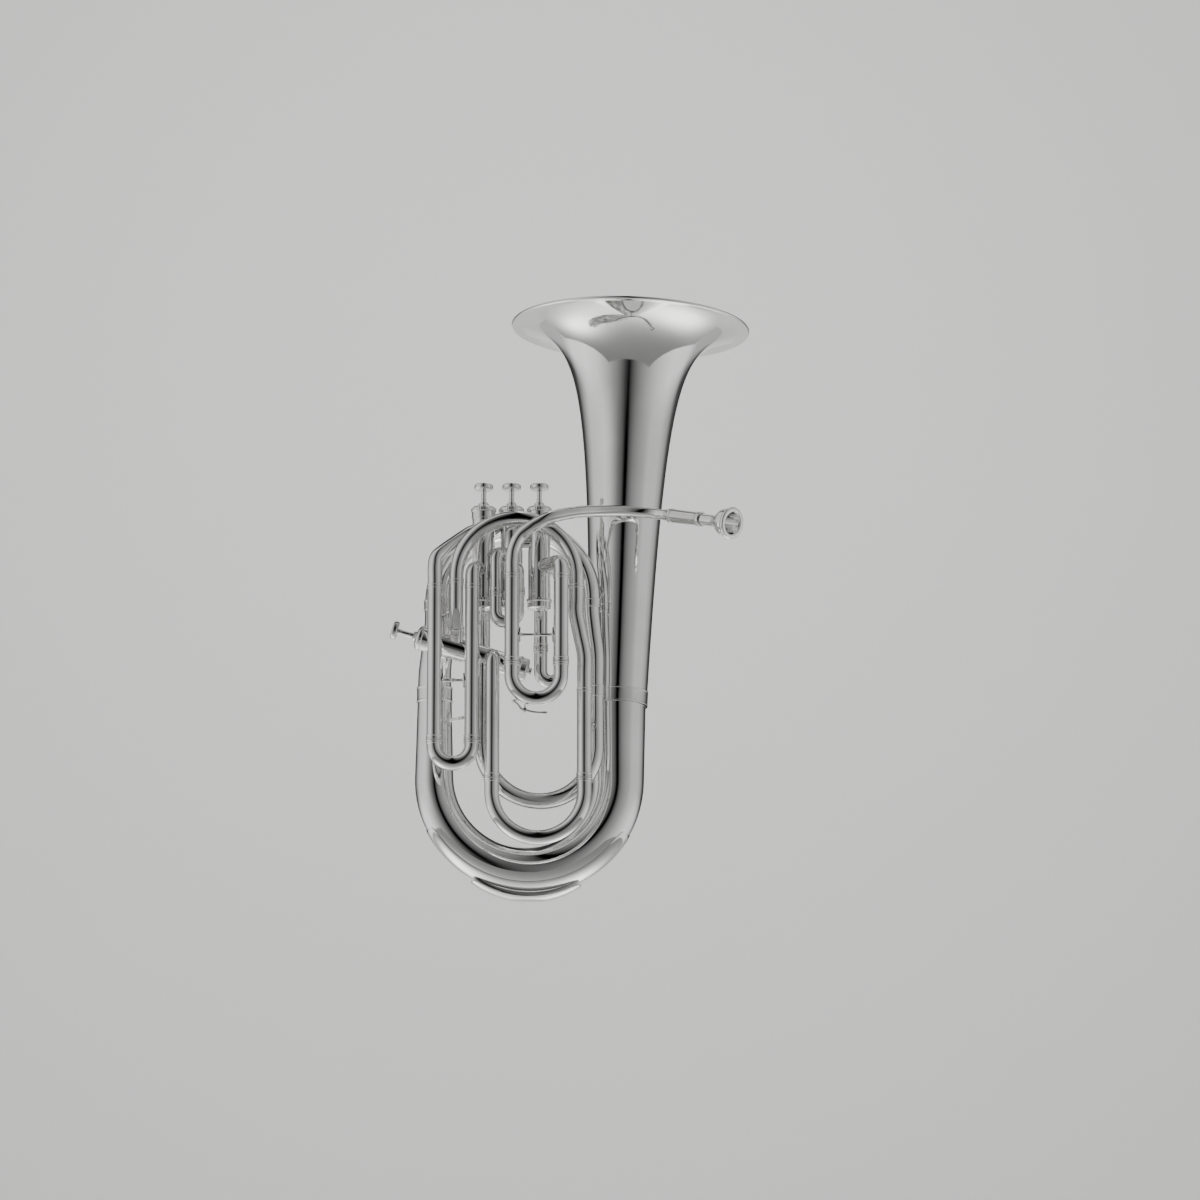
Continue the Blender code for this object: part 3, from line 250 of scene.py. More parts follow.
def silver(name, bright, dull, smooth, worn, ripple=0.02, stretch=(1.0, 1.0, 1.0), grain=0.0):
    """Silver plate: faint tarnish clouds, handling smudges, fine polishing lines and soft ripples."""
    material = bpy.data.materials.new(name)
    material.use_nodes = True
    tree = material.node_tree
    shader = tree.nodes["Principled BSDF"]
    shader.inputs["Metallic"].default_value = 1.0
    place = node(tree, "ShaderNodeTexCoord")

    clouds = noise(tree, place, 14.0, 5.0)
    tint = node(tree, "ShaderNodeValToRGB")
    tint.color_ramp.elements[0].position = 0.36
    tint.color_ramp.elements[0].color = dull
    tint.color_ramp.elements[1].position = 0.58
    tint.color_ramp.elements[1].color = bright
    tree.links.new(clouds.outputs[0], tint.inputs["Fac"])
    tree.links.new(tint.outputs["Color"], shader.inputs["Base Color"])

    smudges = noise(tree, place, 46.0, 6.0, stretch)
    gloss = spread(tree, smudges, 0.42, 0.72, smooth, worn)
    tree.links.new(gloss.outputs["Result"], shader.inputs["Roughness"])

    waves = noise(tree, place, 26.0, 2.0, stretch)
    scratches = noise(tree, place, 900.0, 3.0, (1.0, 1.0, 0.08))
    mix = node(tree, "ShaderNodeMath", operation="MULTIPLY_ADD")
    mix.inputs[1].default_value = 0.02 + grain
    tree.links.new(scratches.outputs[0], mix.inputs[0])
    tree.links.new(waves.outputs[0], mix.inputs[2])
    bump = node(tree, "ShaderNodeBump")
    bump.inputs["Strength"].default_value = ripple
    bump.inputs["Distance"].default_value = 0.002
    tree.links.new(mix.outputs["Value"], bump.inputs["Height"])
    tree.links.new(bump.outputs["Normal"], shader.inputs["Normal"])
    return material


BRIGHT = (0.93, 0.93, 0.92, 1.0)
PLATE = silver("silver_plate_bell", BRIGHT, (0.86, 0.86, 0.845, 1.0), 0.045, 0.1, 0.03)
TUBE_PLATE = silver("silver_plate_tubes", BRIGHT, (0.83, 0.83, 0.815, 1.0), 0.05, 0.12, 0.05)
SLIDE_PLATE = silver("silver_plate_slides", BRIGHT, (0.84, 0.84, 0.83, 1.0), 0.05, 0.14, 0.05,
                     (1.0, 1.0, 0.3), 0.03)
FITTING = silver("silver_plate_fittings", (0.9, 0.9, 0.885, 1.0), (0.74, 0.735, 0.71, 1.0), 0.07, 0.2,
                 0.09, (1.0, 1.0, 1.0), 0.03)
SPRING = silver("spring_steel_wire", (0.62, 0.61, 0.6, 1.0), (0.44, 0.43, 0.42, 1.0), 0.2, 0.4, 0.1)


def plain_nodes(name, dark, light, scale, roughness):
    """Cork or felt: mottled colour with a rough, bumpy surface."""
    material = bpy.data.materials.new(name)
    material.use_nodes = True
    tree = material.node_tree
    shader = tree.nodes["Principled BSDF"]
    place = node(tree, "ShaderNodeTexCoord")
    grains = noise(tree, place, scale, 8.0)
    tint = node(tree, "ShaderNodeValToRGB")
    tint.color_ramp.elements[0].position = 0.35
    tint.color_ramp.elements[0].color = dark
    tint.color_ramp.elements[1].position = 0.65
    tint.color_ramp.elements[1].color = light
    tree.links.new(grains.outputs[0], tint.inputs["Fac"])
    tree.links.new(tint.outputs["Color"], shader.inputs["Base Color"])
    gloss = spread(tree, grains, 0.3, 0.7, roughness - 0.1, roughness)
    tree.links.new(gloss.outputs["Result"], shader.inputs["Roughness"])
    bump = node(tree, "ShaderNodeBump")
    bump.inputs["Strength"].default_value = 0.5
    bump.inputs["Distance"].default_value = 0.0004
    tree.links.new(grains.outputs[0], bump.inputs["Height"])
    tree.links.new(bump.outputs["Normal"], shader.inputs["Normal"])
    return material


FELT = plain_nodes("felt_washer", (0.02, 0.02, 0.022, 1.0), (0.06, 0.06, 0.065, 1.0), 900.0, 0.95)
CORK = plain_nodes("cork_pad", (0.3, 0.19, 0.1, 1.0), (0.5, 0.34, 0.2, 1.0), 700.0, 0.85)


# ---------------------------------------------------------------- piece bookkeeping

def finish_piece(obj, body, material, replaced=()):
    """Give a piece its body and material, and hide the CAD nodes it stands for."""
    obj.data.materials.append(material)
    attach(obj, body)
    if replaced:
        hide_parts(*replaced)
    return obj


def mesh_object(name, points, faces, sharp=38.0):
    """Smooth-shaded mesh with crisp corners."""
    mesh = bpy.data.meshes.new(name)
    mesh.from_pydata([tuple(p) for p in points], [], faces)
    shape = bmesh.new()
    shape.from_mesh(mesh)
    bmesh.ops.remove_doubles(shape, verts=shape.verts, dist=1e-6)
    bmesh.ops.dissolve_degenerate(shape, edges=shape.edges, dist=1e-7)
    bmesh.ops.recalc_face_normals(shape, faces=shape.faces)
    shape.to_mesh(mesh)
    shape.free()
    mesh.shade_smooth()
    mesh.set_sharp_from_angle(angle=math.radians(sharp))
    obj = bpy.data.objects.new(name, mesh)
    bpy.context.scene.collection.objects.link(obj)
    return obj


# ---------------------------------------------------------------- paths

def arc(centre, first, second, radius, steps=14):
    """Quarter circle from centre + first to centre + second."""
    angles = [0.5 * math.pi * i / steps for i in range(steps + 1)]
    return [centre + radius * (math.cos(a) * first + math.sin(a) * second) for a in angles]


def half_turn(left, right, depth, steps=40):
    """Half circle or half ellipse from left to right; positive depth hangs below."""
    centre = (left + right) / 2
    across = (left - right) / 2
    angles = [math.pi * i / steps for i in range(steps + 1)]
    return [centre + math.cos(a) * across - math.sin(a) * depth * UP for a in angles]


def smooth(points, steps=10):
    """Catmull-Rom curve through a route's points."""
    padded = [2 * points[0] - points[1]] + list(points) + [2 * points[-1] - points[-2]]
    curve = []
    for p0, p1, p2, p3 in zip(padded, padded[1:], padded[2:], padded[3:]):
        for i in range(steps):
            t = i / steps
            curve.append(0.5 * (2 * p1 + (p2 - p0) * t + (2 * p0 - 5 * p1 + 4 * p2 - p3) * t ** 2
                                + (3 * p1 - p0 - 3 * p2 + p3) * t ** 3))
    return curve + [points[-1]]


def taper(points, keys):
    """Radius at each point, read between (share of the length, radius) keys."""
    total = [0.0]
    for a, b in zip(points, points[1:]):
        total.append(total[-1] + (b - a).length)
    radii = []
    for run in total:
        share = min(1.0, run / total[-1])
        for (s0, r0), (s1, r1) in zip(keys, keys[1:]):
            if share <= s1 + 1e-9:
                radii.append(r0 + (r1 - r0) * (share - s0) / (s1 - s0))
                break
    return radii


def elbow(leg, low_z, target, target_z, bend):
    """Path from a casing's wall out to a leg and down it."""
    inward = (Vector((target.x, target.y, 0.0)) - Vector((leg.x, leg.y, 0.0))).normalized()
    foot = Vector((leg.x, leg.y, 0.0))
    bend_points = arc(foot + inward * bend + UP * (target_z - bend), UP, -inward, bend)
    start = Vector((target.x, target.y, target_z)) - inward * (CASING_R - 1.0 * MM)
    return [start] + bend_points + [foot + UP * low_z]


# ---------------------------------------------------------------- shapes

def sheet_faces(rows, columns):
    """Faces of a closed sheet: a top and a bottom grid of points, and the edge between them."""
    width = columns + 1
    size = (rows + 1) * width
    faces = []
    for i in range(rows):
        for j in range(columns):
            a = i * width + j
            quad = (a, a + 1, a + width + 1, a + width)
            faces.append(quad[::-1])
            faces.append(tuple(size + q for q in quad))
    edge = list(range(width))
    edge += [(i + 1) * width + columns for i in range(rows)]
    edge += [rows * width + columns - 1 - j for j in range(columns)]
    edge += [(rows - 1 - i) * width for i in range(rows - 1)]
    for a, b in zip(edge, edge[1:] + edge[:1]):
        faces.append((a, b, size + b, size + a))
    return faces


def frames_along(points):
    """Directions across a path that turn as little as possible along it."""
    frames = []
    side = None
    for i in range(len(points)):
        before = points[max(0, i - 1)]
        after = points[min(len(points) - 1, i + 1)]
        along = (after - before).normalized()
        if side is None:
            side = along.orthogonal().normalized()
        side = (side - along * side.dot(along)).normalized()
        frames.append((side, along.cross(side)))
    return frames


def on_casing(point, heading, axis_point, axis, radius):
    """Move a point along its heading to the surface of a casing."""
    offset = point - axis_point
    offset = offset - axis * offset.dot(axis)
    step = heading - axis * heading.dot(axis)
    a = step.length_squared
    b = 2 * offset.dot(step)
    c = offset.length_squared - radius ** 2
    root = math.sqrt(max(0.0, b * b - 4 * a * c))
    return point + heading * ((-b - root) / (2 * a))


def tube(name, points, radii, wall=WALL, sides=44, start_on=None, end_on=None):
    """Hollow tube along a path, its ends flat or fitted to the round wall of a casing."""
    frames = frames_along(points)
    verts = []
    for thickness in (0.0, wall):
        for index, (point, radius, (side, other)) in enumerate(zip(points, radii, frames)):
            fitted = start_on if index == 0 else end_on if index == len(points) - 1 else None
            if index == 0:
                heading = (points[0] - points[1]).normalized()
            else:
                heading = (points[index] - points[index - 1]).normalized()
            for k in range(sides):
                turn = 2 * math.pi * k / sides
                spoke = math.cos(turn) * side + math.sin(turn) * other
                vert = point + (radius - thickness) * spoke
                if fitted:
                    vert = on_casing(vert, heading, fitted[0], fitted[1], CASING_R - 0.7 * MM)
                verts.append(vert)
    rows = len(points)
    faces = []
    for layer in (0, 1):
        first = layer * rows * sides
        for i in range(rows - 1):
            for k in range(sides):
                a = first + i * sides + k
                b = first + i * sides + (k + 1) % sides
                quad = (a, b, b + sides, a + sides)
                faces.append(quad if layer == 0 else quad[::-1])
    for i in (0, rows - 1):
        for k in range(sides):
            a = i * sides + k
            b = i * sides + (k + 1) % sides
            rim = (a, a + rows * sides, b + rows * sides, b)
            faces.append(rim if i == 0 else rim[::-1])
    return mesh_object(name, verts, faces)


def rounded_rod(name, points, radii, sides=20):
    """Solid rod with domed ends along a path."""
    frames = frames_along(points)
    verts = []
    for point, radius, (side, other) in zip(points, radii, frames):
        for k in range(sides):
            turn = 2 * math.pi * k / sides
            verts.append(point + radius * (math.cos(turn) * side + math.sin(turn) * other))
    faces = []
    for i in range(len(points) - 1):
        for k in range(sides):
            a = i * sides + k
            b = i * sides + (k + 1) % sides
            faces.append((a, b, b + sides, a + sides))
    faces.append(tuple(range(sides))[::-1])
    last = (len(points) - 1) * sides
    faces.append(tuple(range(last, last + sides)))
    return mesh_object(name, verts, faces)


def turned(name, outline, origin, axis, closed=True, segments=64, ripple=None):
    """Turned shape about an axis; the outline of (radius, height) runs down its outer side."""
    turn = axis.to_track_quat("Z", "Y").to_matrix()
    verts = []
    for k in range(segments):
        angle = 2 * math.pi * k / segments
        for radius, height in outline:
            extra = ripple(angle, radius) if ripple else 0.0
            flat = Vector(((radius + extra) * math.cos(angle), (radius + extra) * math.sin(angle), height))
            verts.append(origin + turn @ flat)
    count = len(outline)
    faces = []
    spans = count if closed else count - 1
    for k in range(segments):
        here = k * count
        there = ((k + 1) % segments) * count
        for i in range(spans):
            j = (i + 1) % count
            faces.append((here + i, here + j, there + j, there + i))
    return mesh_object(name, verts, faces)


def bevelled(outline, size, steps=3, closed=True):
    """Round the corners of an outline of (radius, height) points."""
    count = len(outline)
    rounded = []
    for i, corner in enumerate(outline):
        if not closed and i in (0, count - 1):
            rounded.append(corner)
            continue
        here = Vector((corner[0], corner[1]))
        before = Vector(outline[(i - 1) % count])
        after = Vector(outline[(i + 1) % count])
        cut = min(size, 0.45 * (before - here).length, 0.45 * (after - here).length)
        start = here + (before - here).normalized() * cut
        end = here + (after - here).normalized() * cut
        for s in range(steps + 1):
            t = s / steps
            point = start * (1 - t) ** 2 + here * 2 * t * (1 - t) + end * t ** 2
            rounded.append((point.x, point.y))
    return rounded


def ferrule(name, centre, axis, tube_r, height, body=CASING, replaced=(), wall=1.0 * MM):
    """Soldered ring with a bead at each edge."""
    low = tube_r + 0.15 * MM
    band = low + wall * 0.55
    bead = low + wall
    half = height / 2
    lip = min(1.6 * MM, height * 0.22)
    outline = [(low, half), (bead, half), (bead, half - lip), (band, half - lip * 1.3),
               (band, -half + lip * 1.3), (bead, -half + lip), (bead, -half), (low, -half)]
    ring = turned(name, bevelled(outline, 0.5 * MM), centre, axis)
    return finish_piece(ring, body, FITTING, replaced)


def flange(name, centre, normal, long_axis, length, width, tube_r, tube_axis, body=CASING):
    """Diamond-shaped foot of a brace, curved round the tube it is soldered to."""
    side = normal.cross(long_axis).normalized()
    along = long_axis.normalized()
    grid = 12
    verts = []
    for lift in (1.5 * MM, -0.2 * MM):
        for i in range(grid + 1):
            u = 2 * i / grid - 1
            reach = 1 - abs(u) ** 1.4
            for j in range(grid + 1):
                v = (2 * j / grid - 1) * max(0.08, reach)
                flat = along * (u * length / 2) + side * (v * width / 2)
                lateral = flat - tube_axis * flat.dot(tube_axis)
                away = max(tube_r ** 2 - lateral.length_squared, 0.0) ** 0.5
                verts.append(centre + flat - normal * (tube_r - away) + normal * lift)
    plate = mesh_object(name, verts, sheet_faces(grid, grid), 50.0)
    return finish_piece(plate, body, FITTING)


def brace(name, start, end, start_r, end_r, tube_axis, body=CASING, replaced=(), thickness=2.0 * MM):
    """Turned brace between two tubes, with a bead in its middle and a diamond foot at each end."""
    along = (end - start).normalized()
    a = start + along * start_r
    b = end - along * end_r
    length = (b - a).length
    outline = []
    steps = 36
    for i in range(steps + 1):
        share = i / steps
        height = length * (1 - share)
        waist = thickness * 0.85
        bead = thickness * 0.6 * math.exp(-((share - 0.5) * length / (2.6 * MM)) ** 2)
        foot = thickness * 0.9 * (math.exp(-share * length / (2.4 * MM))
                                  + math.exp(-(1 - share) * length / (2.4 * MM)))
        outline.append((waist + bead + foot, height))
    rod = turned(name, [(0.0, length)] + outline + [(0.0, 0.0)], a, along, False, 28)
    finish_piece(rod, body, FITTING, replaced)
    flange(name + "_foot_a", a, along, tube_axis, 18.0 * MM, 10.0 * MM, start_r, tube_axis, body)
    flange(name + "_foot_b", b, -along, tube_axis, 18.0 * MM, 10.0 * MM, end_r, tube_axis, body)


# ---------------------------------------------------------------- bell and bottom bow

def bell_radius(below_rim):
    """Outer radius of the bell at a distance below its rim."""
    return RIM_RADIUS * (BELL_FLARE_START / (below_rim + BELL_FLARE_START)) ** BELL_FLARE_POWER


def build_bell():
    """Bell with a rolled rim bead, and the broad ferrule at its foot."""
    rows = 90
    depths = [RIM_BEAD_RADIUS * 1.4 + (BELL_LENGTH - RIM_BEAD_RADIUS * 1.4) * (i / rows) ** 2.2
              for i in range(rows + 1)]
    outer = [(bell_radius(d), BELL_LENGTH - d) for d in depths]
    inner = [(r - BELL_WALL, z) for r, z in outer]
    centre_r = RIM_RADIUS - RIM_BEAD_RADIUS
    centre_z = BELL_LENGTH - RIM_BEAD_RADIUS
    bead = [(centre_r + RIM_BEAD_RADIUS * math.cos(a), centre_z + RIM_BEAD_RADIUS * math.sin(a))
            for a in (math.radians(d) for d in range(165, -100, -15))]
    bell = turned("bell_body", bead + outer + inner[::-1], BELL_BASE, BELL_AXIS, True, 160)
    finish_piece(bell, CASING, PLATE, ("bell",))
    foot_r = bell_radius(BELL_LENGTH - 9.0 * MM)
    ferrule("bell_foot_ferrule", BELL_BASE, BELL_AXIS, foot_r + 0.1 * MM, 18.0 * MM, CASING,
            ("bell_ferrule",), 0.8 * MM)


def bow_point(angle):
    """Centreline of the bottom bow, from 0 at the left to pi at the right."""
    side = math.cos(angle)
    return Vector((-BOW_RADIUS * side, BOW_CENTRE_Y - BOW_SKEW_Y * side,
                   BOW_CENTRE_Z - BOW_RADIUS * math.sin(angle)))


def bow_tube_radius(angle):
    """Outer radius of the bottom bow's tube at an angle."""
    left_leg = BOW_LEFT_TOP_Z - BOW_CENTRE_Z
    right_leg = BELL_BASE.z - BOW_CENTRE_Z
    share = (left_leg + BOW_RADIUS * angle) / (left_leg + math.pi * BOW_RADIUS + right_leg)
    if share < 0.5:
        return BOW_LEFT_TUBE_R + (BOW_MID_TUBE_R - BOW_LEFT_TUBE_R) * share * 2
    return BOW_MID_TUBE_R + (BOW_RIGHT_TUBE_R - BOW_MID_TUBE_R) * (share * 2 - 1)


def build_bottom_bow():
    """Bottom bow, from the left ferrule round to the bell."""
    steps = 96
    left = Vector((-BOW_RADIUS, BOW_CENTRE_Y - BOW_SKEW_Y, BOW_LEFT_TOP_Z - 0.3 * MM))
    right = Vector((BOW_RADIUS, BOW_CENTRE_Y + BOW_SKEW_Y, BELL_BASE.z - 1.2 * MM))
    path = [left] + [bow_point(math.pi * i / steps) for i in range(steps + 1)] + [right]
    keys = ((0.0, BOW_LEFT_TUBE_R), (0.5, BOW_MID_TUBE_R), (1.0, BOW_RIGHT_TUBE_R))
    bow = tube("bottom_bow_body", path, taper(path, keys), 0.9 * MM, 88)
    finish_piece(bow, CASING, PLATE, ("bottom_bow",))
    joint = Vector((left.x, left.y, BOW_LEFT_TOP_Z))
    ferrule("bottom_bow_left_ferrule", joint, UP, BOW_LEFT_TUBE_R + 0.3 * MM, 18.0 * MM, CASING,
            ("bottom_bow_ferrule",), 1.1 * MM)


def guard_sheet(name, half_span, half_wrap, lift, thickness, rows, columns, end_round):
    """Sheet wrapped round the outside of the bow, with rounded ends and a soft edge."""
    verts = []
    for layer in (0, 1):
        for i in range(rows + 1):
            turn = 2 * i / rows - 1
            angle = math.pi / 2 + half_span * turn
            centre = bow_point(angle)
            outward = Vector((-math.cos(angle), 0.0, -math.sin(angle)))
            narrow = (1 - abs(turn) ** end_round) ** (1 / end_round)
            for j in range(columns + 1):
                share = 2 * j / columns - 1
                wrap = half_wrap(angle) * share * max(narrow, 0.02)
                edge = min(1.0, (1 - abs(share)) * 9, (1 - abs(turn)) * 26)
                depth = thickness(turn, share) * (0.35 + 0.65 * math.sqrt(max(0.0, edge)))
                radius = bow_tube_radius(angle) + (lift + depth if layer == 0 else lift * 0.2)
                spoke = outward * math.cos(wrap) + BACK * math.sin(wrap)
                point = centre + radius * spoke
                point.z = max(point.z, 0.0)
                verts.append(point)
    return mesh_object(name, verts, sheet_faces(rows, columns), 30.0)


def build_guards():
    """Thin wear sheet and the thick heel that the instrument is set down on."""
    strip = guard_sheet("bow_wear_sheet", STRIP_HALF_SPAN, lambda angle: STRIP_HALF_WRAP, STRIP_LIFT,
                        lambda turn, share: STRIP_THICKNESS, 110, 40, 9.0)
    finish_piece(strip, CASING, PLATE, ("bow_guard_strip",))

    def heel_depth(turn, share):
        return (9.8 - 5.0 * turn ** 2 - 3.4 * share ** 4) * MM

    heel = guard_sheet("bow_heel", HEEL_HALF_SPAN,
                       lambda angle: HEEL_HALF_WIDTH / bow_tube_radius(angle), 1.0 * MM, heel_depth, 90, 28,
                       7.0)
    finish_piece(heel, CASING, FITTING, ("bow_guard_heel",))


# ---------------------------------------------------------------- branches

def build_branches():
    """Left branch, top bow, right branch and inner bow with their ferrules."""
    stub = UP * TOP_BOW_STUB
    top_left = TOP_BOW_CENTRE + Vector((-TOP_BOW_RADIUS, TOP_BOW_LEFT_Y, 0.0)) - stub
    foot = Vector((-BOW_RADIUS, BOW_CENTRE_Y - BOW_SKEW_Y, BOW_LEFT_TOP_Z + 0.3 * MM))
    straight = UP * 25 * MM
    drift = smooth([foot, foot + straight, foot.lerp(top_left, 0.5), top_left - straight, top_left], 12)
    branch = tube("left_branch_body", drift,
                  taper(drift, ((0.0, BOW_LEFT_TUBE_R), (1.0, BRANCH_TOP_TUBE_R))), 0.8 * MM, 64)
    finish_piece(branch, CASING, PLATE, ("left_branch",))
    ferrule("top_bow_ferrule_left", top_left, UP, BRANCH_TOP_TUBE_R + 0.4 * MM, 12.5 * MM, CASING,
            ("top_bow_left_ferrule",))

    steps = 84
    bow = []
    for i in range(steps + 1):
        angle = math.pi * i / steps
        share = max(0.0, (angle / math.pi - 0.5) * 2)
        share = share * share * (3 - 2 * share)
        deep = TOP_BOW_LEFT_Y + (TOP_BOW_RIGHT_Y - TOP_BOW_LEFT_Y) * share
        bow.append(TOP_BOW_CENTRE + Vector((-TOP_BOW_RADIUS * math.cos(angle), deep,
                                            TOP_BOW_RADIUS * math.sin(angle))))
    bow = [bow[0] - stub] + bow + [bow[-1] - stub]
    body = tube("top_bow_body", bow, taper(bow, ((0.0, BRANCH_TOP_TUBE_R), (0.5, TOP_BOW_MID_TUBE_R),
                                                 (1.0, TOP_BOW_END_TUBE_R))), 0.8 * MM, 60)
    finish_piece(body, CASING, PLATE, ("top_bow",))
    ferrule("top_bow_ferrule_right", bow[-1], UP, TOP_BOW_END_TUBE_R + 0.3 * MM, 10.8 * MM, CASING,
            ("top_bow_right_ferrule",))

    start = bow[-1]
    low = Vector((RIGHT_BRANCH_X, start.y, RIGHT_BRANCH_JOG_LOW_Z))
    high = Vector((start.x, start.y, RIGHT_BRANCH_JOG_TOP_Z))
    ease = [high.lerp(low, t) for t in (0.0, 1.0)]
    jog = smooth([start, high + UP * 8 * MM, ease[0].lerp(ease[1], 0.5), low - UP * 8 * MM,
                  Vector((low.x, low.y, RIGHT_BRANCH_END_Z + 0.3 * MM))], 12)
    right = tube("right_branch_body", jog,
                 taper(jog, ((0.0, TOP_BOW_END_TUBE_R), (1.0, INNER_BOW_TUBE_R))), 0.8 * MM, 52)
    finish_piece(right, CASING, TUBE_PLATE, ("right_branch",))
    joint = Vector((low.x, low.y, RIGHT_BRANCH_END_Z))
    ferrule("inner_bow_ferrule_ring", joint, UP, INNER_BOW_TUBE_R + 0.1 * MM, 14.4 * MM, CASING,
            ("inner_bow_ferrule",), 1.0 * MM)

    left_leg = Vector((INNER_BOW_LEFT_X, VALVE_Y, INNER_BOW_CENTRE_Z))
    right_leg = Vector((RIGHT_BRANCH_X, TOP_BOW_RIGHT_Y, INNER_BOW_CENTRE_Z))
    turn = half_turn(left_leg, right_leg, (right_leg - left_leg).length / 2, 60)
    top = Vector((left_leg.x, left_leg.y, fourth_axis_z(left_leg.x) - CASING_R))
    path = [top] + turn + [Vector((right_leg.x, right_leg.y, RIGHT_BRANCH_END_Z - 0.3 * MM))]
    inner = tube("inner_bow_body", path, [INNER_BOW_TUBE_R] * len(path), 0.8 * MM, 52,
                 (FOURTH_BASE, FOURTH_AXIS))
    finish_piece(inner, CASING, TUBE_PLATE, ("inner_bow",))


# ---------------------------------------------------------------- valves

def fourth_axis_z(x):
    """Height of the fourth valve's axis at a place across the instrument."""
    return FOURTH_BASE.z + (FOURTH_BASE.x - x) / math.tan(FOURTH_TILT)


def knurl(depth, count):
    """Small grip ridges round the widest part of a cap."""
    def ripple(angle, radius):
        return depth * math.cos(angle * count) if radius > CAP_R - 0.35 * MM else 0.0
    return ripple


def build_valve(number, base, axis, length, lift):
    """Casing, caps, piston stem and button of one valve."""
    tag = "_%d" % number
    body = "valve_%d" % number
    floor = 7.0 * MM
    low = floor + 0.3 * MM
    high = length - 6.3 * MM
    bore = CASING_R - 1.5 * MM
    casing = [(bore, high), (CASING_R, high), (CASING_R, high - 11.0 * MM),
              (CASING_R, low + 14.0 * MM), (CASING_R, low), (bore, low)]
    finish_piece(turned("casing" + tag, bevelled(casing, 0.4 * MM), base, axis),
                 CASING, TUBE_PLATE, ("valve_casing" + tag,))

    skirt = high - 10.0 * MM
    hole = STEM_R + 0.3 * MM
    cap = [(COLLAR_R - 0.3 * MM, length + COLLAR_HEIGHT), (COLLAR_R, length + 0.6 * MM),
           (COLLAR_R + 1.2 * MM, length - 0.2 * MM), (CAP_R - 4.2 * MM, length - 0.9 * MM),
           (CAP_R - 1.6 * MM, length - 2.2 * MM), (CAP_R - 0.9 * MM, length - 3.4 * MM),
           (CAP_R, length - 4.0 * MM), (CAP_R, length - 7.6 * MM),
           (CAP_R - 0.8 * MM, length - 8.3 * MM), (CAP_R - 0.8 * MM, skirt),
           (CASING_R + 0.2 * MM, skirt), (CASING_R + 0.2 * MM, high + 0.3 * MM),
           (hole, high + 0.3 * MM), (hole, length + COLLAR_HEIGHT)]
    grip = knurl(0.12 * MM, 36)
    finish_piece(turned("cap_top" + tag, bevelled(cap, 0.5 * MM), base, axis, True, 144, grip),
                 CASING, FITTING, ("top_cap" + tag,))

    foot = [(CAP_R, low + 10.0 * MM), (CAP_R, low + 6.6 * MM), (CAP_R - 1.0 * MM, low + 5.8 * MM),
            (CAP_R - 1.0 * MM, floor - 0.6 * MM), (CAP_R - 4.0 * MM, floor - 2.2 * MM),
            (5.6 * MM, 4.2 * MM), (4.5 * MM, 3.4 * MM), (4.5 * MM, 0.0), (1.2 * MM, 0.0),
            (1.2 * MM, floor), (CASING_R + 0.2 * MM, floor), (CASING_R + 0.2 * MM, low + 10.0 * MM)]
    finish_piece(turned("cap_bottom" + tag, bevelled(foot, 0.5 * MM), base, axis, True, 144, grip),
                 CASING, FITTING, ("bottom_cap" + tag,))

    piston_r = bore - 0.3 * MM
    piston_low = low + 28.6 * MM
    piston_high = high - 2.0 * MM
    stem_top = length + COLLAR_HEIGHT + lift
    stem = [(0.0, stem_top), (STEM_R, stem_top), (STEM_R, stem_top - 2.6 * MM),
            (STEM_R - 0.35 * MM, stem_top - 3.6 * MM), (STEM_R - 0.35 * MM, length + 8.5 * MM),
            (STEM_R, length + 7.0 * MM), (STEM_R - 0.1 * MM, piston_high), (piston_r, piston_high),
            (piston_r, piston_low), (1.2 * MM, piston_low), (1.2 * MM, piston_low + 1.2 * MM),
            (piston_r - 1.2 * MM, piston_low + 1.2 * MM), (piston_r - 1.2 * MM, piston_high - 2.4 * MM),
            (0.0, piston_high - 2.4 * MM)]
    finish_piece(turned("piston_stem" + tag, bevelled(stem, 0.3 * MM, 3, False), base, axis, False, 48),
                 body, SLIDE_PLATE, ("piston" + tag,))

    start = stem_top + 0.3 * MM
    top = start + BUTTON_HEIGHT
    button = [(0.0, top), (BUTTON_R * 0.55, top - 0.1 * MM), (BUTTON_R * 0.88, top - 0.5 * MM),
              (BUTTON_R, top - 1.9 * MM), (BUTTON_R, start + 1.7 * MM), (BUTTON_R * 0.88, start + 0.4 * MM),
              (STEM_R * 1.5, start + 0.1 * MM), (STEM_R * 1.2, start - 0.1 * MM), (0.0, start - 0.1 * MM)]
    finish_piece(turned("button" + tag, bevelled(button, 1.1 * MM, 5, False), base, axis, False, 72),
                 body, FITTING, ("finger_button" + tag,))

    felt = [(COLLAR_R - 0.8 * MM, length + COLLAR_HEIGHT + 0.35 * MM),
            (COLLAR_R - 0.8 * MM, length + COLLAR_HEIGHT - 0.1 * MM),
            (STEM_R + 0.4 * MM, length + COLLAR_HEIGHT - 0.1 * MM),
            (STEM_R + 0.4 * MM, length + COLLAR_HEIGHT + 0.35 * MM)]
    finish_piece(turned("stem_felt" + tag, bevelled(felt, 0.1 * MM), base, axis, True, 40), CASING, FELT)


